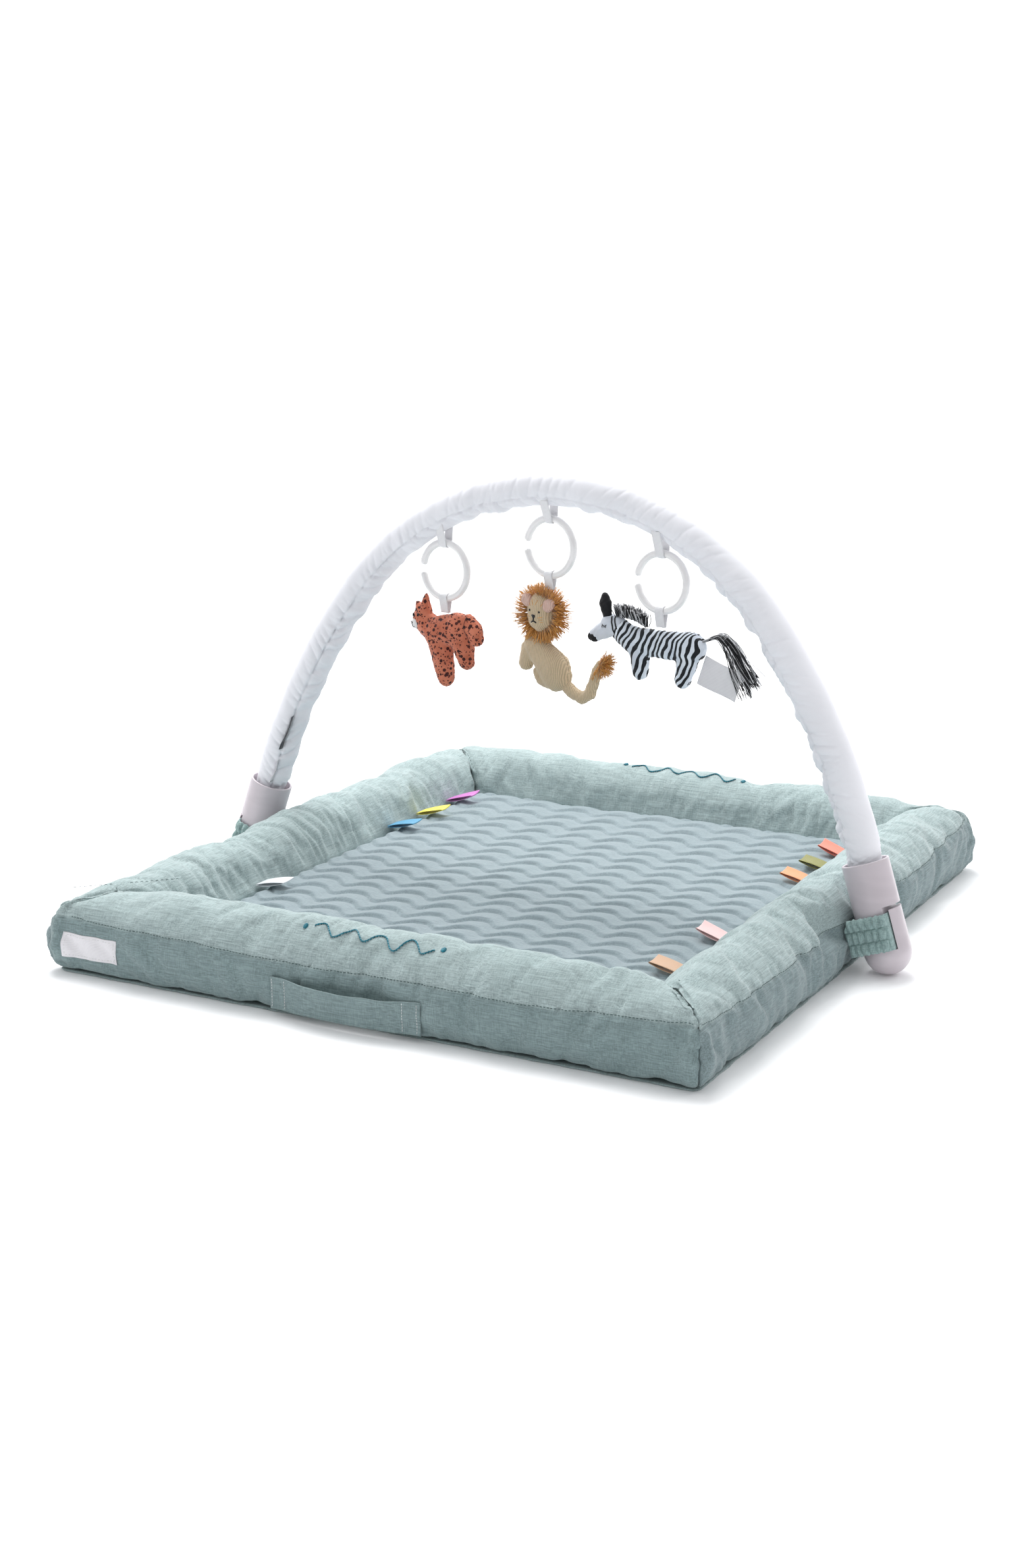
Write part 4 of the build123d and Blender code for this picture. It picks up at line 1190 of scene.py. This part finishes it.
def plush(name, toy, limbs, material, voxel=0.0013, flatness=0.86, smoothing=7, seam=True):
    """A stuffed body: limbs swept as balls, fused, smoothed, flattened a little and seamed along its rim."""
    ball = bmesh.new()
    for start, end in limbs:
        gap = max(np.hypot(end[0] - start[0], end[1] - start[1]), 0.1)
        count = max(2, int(gap / 2.2) + 1)
        for t in np.linspace(0, 1, count):
            u, z, r = (start[k] + (end[k] - start[k]) * t for k in (0, 1, 2))
            w = (start[3] + (end[3] - start[3]) * t) if len(start) > 3 else 0.0
            made = bmesh.ops.create_icosphere(ball, subdivisions=2, radius=r * 0.001)
            bmesh.ops.translate(ball, vec=Vector(toy_point(toy, u, z, w)), verts=made["verts"])
    mesh = bpy.data.meshes.new(name)
    ball.to_mesh(mesh)
    ball.free()
    mesh.materials.append(material)
    piece = bpy.data.objects.new(name, mesh)
    bpy.context.scene.collection.objects.link(piece)
    fuse = piece.modifiers.new("Fuse", "REMESH")
    fuse.mode = "VOXEL"
    fuse.voxel_size = voxel
    ease = piece.modifiers.new("Ease", "SMOOTH")
    ease.factor = 0.5
    ease.iterations = smoothing
    shown = piece.evaluated_get(bpy.context.evaluated_depsgraph_get())
    fused = bpy.data.meshes.new_from_object(shown)
    piece.modifiers.clear()
    piece.data = fused
    bpy.data.meshes.remove(mesh)
    if not fused.materials:
        fused.materials.append(material)
    fused.shade_smooth()
    points, normals = points_and_normals(piece)
    origin = np.array(joints[toy + "_swing"]["pos_m"])
    w = (points - origin) @ ACROSS
    points = points - ACROSS * (w * (1 - flatness))[:, None]
    w = w * flatness
    u, z = (points - origin) @ ALONG, points[:, 2]
    seed = sum(map(ord, name))
    lift = 0.0005 * ripple(u + 0.7 * z, 0.017, seed) + 0.0003 * ripple(z - u, 0.009, seed + 1)
    if seam:
        edge = np.sqrt(np.clip(1 - (normals @ ACROSS) ** 2, 0, 1))
        lift += -0.0011 * bell(w, 0, 0.0011) * edge ** 4
        lift += 0.0005 * bell(w, 0, 0.004) * edge ** 2 * ripple(u * 1.3 + z, 0.006, seed + 2)
    points = points + normals * lift[:, None]
    fused.vertices.foreach_set("co", points.ravel())
    fused.update()
    return piece


def surface_spot(surface, toy, u, z, lift):
    """The point over a toy's front at (u, z)."""
    place = toy_point(toy, u, z)
    return struck(surface, place + ACROSS * 0.06, -ACROSS, lift, (place, ACROSS))[0]


def embroidered(name, toy, surface, material, slot, lines, radius):
    """Embroidered lines, each a list of (u, z) points on a toy's front."""
    parts = []
    for line in lines:
        spots = []
        for (a, b), (c, d) in zip(line, line[1:]):
            steps = max(2, int(np.hypot(c - a, d - b) / 0.9))
            for t in np.linspace(0, 1, steps):
                spots.append(surface_spot(surface, toy, a + (c - a) * t, b + (d - b) * t, radius * 0.4))
        parts.append(strand(spots, radius, sides=6, tip=0.9))
    finished(assembled(name, parts, material), toy, slot)


def felt_patch(name, toy, surface, material, slot, centre, size, turn, dome, node):
    """An oval appliqué laid on a toy's front."""
    rings = []
    for k, share in enumerate((1.0, 0.97, 0.8, 0.5, 0.2)):
        loop = []
        for a in np.linspace(0, 2 * pi, 28, endpoint=False):
            du, dz = size[0] * share * cos(a), size[1] * share * sin(a)
            u = centre[0] + du * cos(turn) - dz * sin(turn)
            z = centre[1] + du * sin(turn) + dz * cos(turn)
            lift = -0.0006 if k == 0 else 0.0004 + dome * (1 - share ** 2)
            loop.append(surface_spot(surface, toy, u, z, lift))
        rings.append(loop)
    back_loop = [np.array(p) - ACROSS * 0.0012 for p in rings[0]]
    finished(mesh_piece(name, *tube_mesh(np.array([back_loop] + rings)), mats[material]), toy, slot, node)


def toy_tape(toy, drop):
    """The tape that a toy hangs from, with its ends sewn in the toy."""
    wire = np.array(joints[toy + "_swing"]["pos_m"])
    ends = (wire - UP * drop + ACROSS * 0.0012, wire - UP * drop - ACROSS * 0.0012)
    tape_loop(toy + "_tape", toy + "_ribbon", toy, wire, ends, False)


# Leopard
leopard = plush("leopard_plush", "leopard", [
    ((-12, -40, 18.5), (19, -34, 19.5)),
    ((-22, -36, 15.5), (-34, -27, 13)),
    ((-30, -18, 9), (-28, 1, 2.6)),
    ((-36, -18, 7.5), (-40, -10, 3.4)),
    ((-9, -48, 17.0), (0, -92, 11.0)),
    ((23, -46, 15.5), (30, -70, 10.4)),
    ((32, -26, 11), (41, -33, 11)),
    ((41, -33, 11), (44, -43, 9.5)),
], mats["leopard"])
finished(leopard, "leopard", "leopard_print", "leopard_body", "leopard_head", fill=0.85)
leopard_surface = surface_of(leopard)
felt_patch("leopard_muzzle_felt", "leopard", leopard_surface, "felt", "white_felt", (-40.0, -33.5), (5.8, 7.2),
           turn=-0.35, dome=0.0022, node="leopard_muzzle")
muzzle_lines = [
    [(-41.8, -29.6), (-40.4, -31.0), (-39.0, -29.8)],
    [(-40.4, -31.0), (-40.5, -34.0)],
    [(-43.0, -36.2), (-41.6, -35.4), (-40.5, -34.0), (-39.2, -35.3), (-37.6, -35.6)],
]
mouth = [strand([surface_spot(leopard_surface, "leopard", u, z, 0.0026) for u, z in line], 0.00055, 6, 0.9)
         for line in muzzle_lines]
finished(assembled("leopard_mouth", mouth, "black_yarn"), "leopard", "white_felt")
embroidered("leopard_eyes", "leopard", leopard_surface, "black_yarn", "leopard_print",
            [[(-41.2, -21.4), (-40.4, -22.6), (-41.0, -23.8)],
             [(-33.2, -20.4), (-32.2, -21.8), (-33.0, -23.2)]], 0.0012)
embroidered("leopard_haunch_seams", "leopard", leopard_surface, "black_yarn", "leopard_print",
            [[(35, -18), (33, -28), (35, -38), (38, -46)]], 0.0003)
toy_tape("leopard", 0.017)

# Lion
lion_body = plush("lion_plush", "lion", [
    ((-18, -82, 15), (6, -104, 20)),
    ((0, -96, 17), (10, -112, 18.5)),
    ((-28, -84, 10.5), (-33, -102, 9.3)),
    ((-22, -78, 12), (-27, -90, 11)),
    ((4, -118, 12), (-10, -117, 9)),
    ((-10, -117, 9), (-15, -111, 7.5)),
], mats["knit"])
finished(lion_body, "lion", "lion_knit", "lion_body", fill=0.85)
lion_head = plush("lion_head_plush", "lion", [
    ((-11, -36, 17), (-11, -47, 17.5)),
    ((-11, -44, 17.5), (-11, -53, 13)),
], mats["knit"], flatness=0.95)
finished(lion_head, "lion", "lion_knit", "lion_head", fill=0.85)
for ear_side, (u, z) in (("left", (-25.5, -28.0)), ("right", (4.5, -32.0))):
    ear = plush("lion_ear_" + ear_side, "lion", [((u, z, 7.4, 10.0), (u + (1 if u < 0 else -1), z - 2, 6.6, 10.0))],
                mats["ear_knit"], voxel=0.0007, flatness=0.9, smoothing=3, seam=False)
    origin = toy_point("lion", u, z, 9.0)
    points, _ = points_and_normals(ear)
    cup = np.exp(-(np.linalg.norm((points - origin - ACROSS * 0.005), axis=1) / 0.0035) ** 2)
    ear.data.vertices.foreach_set("co", (points - ACROSS * (0.0028 * cup)[:, None]).ravel())
    ear.data.update()
    finished(ear, "lion", "lion_knit", fill=0.5)
tail_path = [(20, -120), (32, -129), (45, -133), (55, -127), (60, -113), (64, -100), (69, -92)]
tail_radii = (7.4, 7.2, 7.4, 7.2, 6.6, 6.0, 5.4)
tail_balls = [(*place, radius) for place, radius in zip(tail_path, tail_radii)]
tail_limbs = list(zip(tail_balls, tail_balls[1:]))
lion_tail = plush("lion_tail_plush", "lion", tail_limbs, mats["knit"], voxel=0.0011, flatness=0.95, smoothing=5)
finished(lion_tail, "lion", "lion_knit", "lion_tail", fill=0.8)


def fringe(name, count, rooted, lengths, seed, radius):
    """Loose cut yarn ends; rooted gives each one's root and direction."""
    rng = np.random.default_rng(seed)
    parts = []
    for _ in range(count):
        start, direction = rooted(rng)
        direction = unit(direction + rng.normal(0, 0.16, 3))
        length = rng.uniform(*lengths)
        bow = unit(rng.normal(0, 1, 3)) * length * 0.10
        path = [start, start + direction * length * 0.5 + bow, start + direction * length]
        parts.append(strand(path, radius * rng.uniform(0.8, 1.25), sides=3, tip=0.6))
    return assembled(name, parts, "fringe")


def mane_root(rng):
    """A root round the lion's face, and the way outward."""
    angle = rng.uniform(0, 2 * pi)
    out = cos(angle) * ALONG + sin(angle) * UP
    w = rng.uniform(-7, 7)
    centre = toy_point("lion", -11, -43 if sin(angle) > 0 else -45, w)
    start = centre + out * rng.uniform(0.0165, 0.0200)
    return start, out + ACROSS * (w / 7 * 0.55)


mane = fringe("lion_mane_fringe", 1250, mane_root, (0.0085, 0.0165), 61, 0.00055)
finished(mane, "lion", "lion_fringe", "lion_mane")


def tuft_root(rng):
    """A root at the end of the lion's tail, and the way outward."""
    t = rng.uniform(0, 1)
    spot = toy_point("lion", 66 + 5 * t, -96 + 6 * t, rng.uniform(-4, 4))
    angle = rng.uniform(-1.0, 1.9)
    out = cos(angle) * ALONG - sin(angle) * UP * 0.9 + UP * 0.25
    return spot, out + ACROSS * rng.uniform(-0.6, 0.6)


tuft = fringe("lion_tuft_fringe", 420, tuft_root, (0.010, 0.019), 62, 0.00042)
finished(tuft, "lion", "lion_fringe", "lion_tuft")
lion_head_surface = surface_of(lion_head)
embroidered("lion_features", "lion", lion_head_surface, "black_yarn", "lion_knit", [
    [(-18.4, -38.2), (-17.2, -39.0), (-18.2, -39.6)], [(-5.6, -39.4), (-4.4, -40.2), (-5.4, -40.8)],
    [(-14.0, -44.0), (-9.6, -44.2), (-11.6, -47.2), (-14.0, -44.0)],
    [(-13.0, -44.6), (-10.6, -44.7), (-11.8, -46.2)],
    [(-11.7, -47.0), (-11.8, -50.2)], [(-14.8, -52.0), (-11.8, -50.2), (-8.8, -52.2)],
], 0.00085)
whiskers = [[(-17 - k, -46 - 2.6 * k), (-22.5, -44.5 - 3.2 * k)] for k in range(3)]
whiskers += [[(-6.5 + k, -46.6 - 2.4 * k), (-1.0, -45.5 - 3.0 * k)] for k in range(3)]
embroidered("lion_whiskers", "lion", lion_head_surface, "fringe", "lion_fringe", whiskers, 0.0003)
embroidered("lion_brow", "lion", lion_head_surface, "fringe", "lion_knit",
            [[(-15.5, -27), (-13.2, -33)], [(-9.8, -32.5), (-7.8, -27)],
             [(-20, -30), (-17.5, -34)], [(-4.0, -34), (-1.8, -30.5)]], 0.0003)
toy_tape("lion", 0.016)

# Zebra
zebra_body = plush("zebra_plush", "zebra", [
    ((-36, -36, 15.5), (8, -37, 16)),
    ((8, -37, 16), (40, -36, 17.5)),
    ((-27, -44, 13.5), (-26, -70, 9.6)),
    ((36, -46, 13.5), (29, -73, 9.8)),
    ((-44, -32, 14), (-52, -26, 13)),
], mats["zebra"])
finished(zebra_body, "zebra", "zebra_print", "zebra_body", fill=0.85)
zebra_head = plush("zebra_head_plush", "zebra", [
    ((-56, -24, 13.2), (-66, -22, 12.8)),
    ((-64, -23, 12.4), (-86, -35, 8.2)),
], mats["zebra_face"])
finished(zebra_head, "zebra", "zebra_print", "zebra_head", fill=0.85)
zebra_head_surface = surface_of(zebra_head)
ear_plush = plush("zebra_ear", "zebra", [((-69, -12, 6.0, 3.0), (-71.5, 1.5, 7.6, 4.0)),
                                         ((-71.5, 1.5, 7.6, 4.0), (-72, 8.5, 5.0, 4.0))],
                  mats["black_felt"], voxel=0.0008, flatness=0.75, smoothing=4, seam=False)
finished(ear_plush, "zebra", "zebra_yarn", fill=0.5)
nose = plush("zebra_nose", "zebra", [((-85.5, -37.0, 6.4, 1.6), (-89.5, -37.0, 5.6, 1.6))],
             mats["black_felt"], voxel=0.0007, flatness=1.0, smoothing=3, seam=False)
finished(nose, "zebra", "zebra_yarn", fill=0.8)
lashes = [[(-71.5, -20.5), (-69.5, -22.0), (-66.5, -22.2), (-64.5, -20.8)]]
lashes += [[(-70.8 + 1.9 * k, -21.4 - 0.4 * (k % 3)), (-71.6 + 2.0 * k, -24.2)] for k in range(4)]
embroidered("zebra_lashes", "zebra", zebra_head_surface, "black_yarn", "zebra_yarn", lashes, 0.00045)
stripe_lines = [[(-57, -12), (-53, -20), (-50, -27)], [(-61, -12), (-57, -21), (-54, -30)]]
embroidered("zebra_cheek_stripes", "zebra", zebra_head_surface, "black_yarn", "zebra_print", stripe_lines, 0.0009)


def mane_yarn(rng):
    """A short upright end on the zebra's neck."""
    t = rng.uniform(0, 1)
    root = toy_point("zebra", -58 + 40 * t, -13.0 - 7.0 * t + 3.5 * sin(pi * t), rng.uniform(-3.4, 3.4))
    way = unit(UP * 1.0 + ALONG * rng.normal(-0.10, 0.16) + ACROSS * rng.normal(0.12, 0.30))
    length = rng.uniform(0.011, 0.0155)
    bow = ALONG * rng.normal(0, 0.0009) + ACROSS * rng.normal(0, 0.0008)
    return [root, root + way * length * 0.5 + bow, root + way * length]


def tail_yarn(rng):
    """A long end that rises from the zebra's rump, arches over and hangs."""
    spread, depth = rng.normal(0, 0.42), rng.normal(0, 0.35)
    length = rng.uniform(0.84, 1.06)
    path = []
    for t in np.linspace(0, length, 13):
        u = 54 + 61 * t ** 0.85 + spread * 13 * t + 2.2 * sin(5 * t + 7 * spread)
        z = -28 + 9 * sin(pi * min(t * 1.35, 1.0)) - 64 * max(t - 0.26, 0) ** 1.25 + spread * 13 * t
        path.append(toy_point("zebra", u, z, 9 * depth * t + 1.8 * sin(6 * t + 9 * depth)))
    return path


def zebra_yarns(node, drawn, radius, tip, share_black, seed, count):
    """Black and white yarn ends, as one piece of each colour; the black piece stands for the CAD node."""
    rng = np.random.default_rng(seed)
    parts = {"black_yarn": [], "white_yarn": []}
    for _ in range(count):
        path = drawn(rng)
        kind = "black_yarn" if rng.uniform() < share_black else "white_yarn"
        parts[kind].append(strand(path, radius(rng), sides=4, tip=tip))
    for kind, strands in parts.items():
        nodes = (node,) if kind == "black_yarn" else ()
        finished(assembled(f"{node}_{kind}", strands, kind), "zebra", "zebra_yarn", *nodes)


zebra_yarns("zebra_mane", mane_yarn, lambda rng: 0.0005 * rng.uniform(0.85, 1.2), 0.85, 0.62, 63, 420)
zebra_yarns("zebra_tail", tail_yarn, lambda rng: 0.00052, 0.9, 0.66, 64, 210)

label_rows, label_columns = 34, 22
slope = radians(-17)
side_way = ALONG * cos(slope) + UP * sin(slope)
down_way = -ALONG * sin(-slope) - UP * cos(slope)
label_grid = np.zeros((label_rows, label_columns, 3))
for i, s in enumerate(np.linspace(0, 0.050, label_rows)):
    for j, d in enumerate(np.linspace(-0.0165, 0.0165, label_columns)):
        wave = 0.0016 * sin(s * 95 + d * 40) + 0.0022 * (s / 0.05) ** 2
        label_grid[i, j] = toy_point("zebra", 53, -58, 1.0) + side_way * s + down_way * d + ACROSS * wave
zebra_tag = thin_sheet("zebra_side_label", label_grid, 0.0002, "label")
finished(zebra_tag, "zebra", "label_satin", "zebra_label")
toy_tape("zebra", 0.018)

# ---------------------------------------------------------------- stage, light and camera

stage_finish = Finish("studio_floor", roughness=0.9, specular=0.1)
stage_finish.colour(srgb(250, 250, 251))
stage_finish.shader.inputs["Emission Color"].default_value = (1, 1, 1, 1)
height_split = stage_finish.node("ShaderNodeSeparateXYZ", {0: stage_finish.place})
glow_by_height = {"Value": height_split.outputs["Z"], "From Max": 1.2, "To Min": 0.06, "To Max": 0.95}
glow = stage_finish.node("ShaderNodeMapRange", glow_by_height)
stage_finish.feed(stage_finish.shader.inputs["Emission Strength"], glow.outputs["Result"])
sweep = [(-7.0, 0.0), (3.0, 0.0)]
sweep += [(3.0 + 2.5 * sin(a), 2.5 - 2.5 * cos(a)) for a in np.linspace(0.1, pi / 2, 14)] + [(5.5, 8.0)]
turned = radians(28)
backdrop_rows = np.array([[(x * cos(turned) - y * sin(turned), x * sin(turned) + y * cos(turned), z)
                           for x in (-9.0, 9.0)] for y, z in sweep])
floor_faces = grid_faces(len(sweep), 2, flip=True)
floor = mesh_piece("studio_floor", backdrop_rows, floor_faces, stage_finish.material, closed=False)

world = bpy.data.worlds.new("studio")
world.use_nodes = True
sky = world.node_tree
sky_place = sky.nodes.new("ShaderNodeTexCoord")
sky_split = sky.nodes.new("ShaderNodeSeparateXYZ")
sky_ramp = sky.nodes.new("ShaderNodeValToRGB")
sky.links.new(sky_place.outputs["Generated"], sky_split.inputs[0])
sky.links.new(sky_split.outputs["Z"], sky_ramp.inputs["Fac"])
sky_ramp.color_ramp.elements[0].color = (0.2, 0.205, 0.21, 1)
sky_ramp.color_ramp.elements[1].color = (0.97, 0.985, 1.0, 1)
sky.links.new(sky_ramp.outputs["Color"], sky.nodes["Background"].inputs["Color"])
sky.nodes["Background"].inputs["Strength"].default_value = 0.95
bpy.context.scene.world = world


def softbox(name, place, target, size, power):
    light = bpy.data.lights.new(name, "AREA")
    light.shape = "RECTANGLE"
    light.size, light.size_y = size
    light.energy = power
    lamp = bpy.data.objects.new(name, light)
    lamp.location = place
    lamp.rotation_euler = (Vector(target) - Vector(place)).to_track_quat("-Z", "Y").to_euler()
    bpy.context.scene.collection.objects.link(lamp)


softbox("overhead", (-0.8, 0.8, 2.5), (0, 0, 0.1), (1.9, 1.8), 80)
softbox("key", (-2.2, -1.5, 1.9), (0, 0, 0.15), (1.4, 1.4), 5)
softbox("rim", (1.9, 1.5, 1.5), (0, 0, 0.2), (1.0, 1.4), 9)

CAMERA_PLACE = Vector((1.1008, -2.1618, 0.7626))
azimuth, elevation = radians(28.03), radians(14.03)
camera_data = bpy.data.cameras.new("camera")
camera_data.sensor_fit = "AUTO"
camera_data.sensor_width = 36.0
camera_data.lens = 51.07
camera_data.clip_end = 50
camera = bpy.data.objects.new("camera", camera_data)
camera.location = CAMERA_PLACE
forward = Vector((-sin(azimuth) * cos(elevation), cos(azimuth) * cos(elevation), -sin(elevation)))
camera.rotation_euler = forward.to_track_quat("-Z", "Y").to_euler()
bpy.context.scene.collection.objects.link(camera)
bpy.context.scene.camera = camera
bpy.context.scene.view_settings.view_transform = "Standard"

bpy.context.view_layer.update()
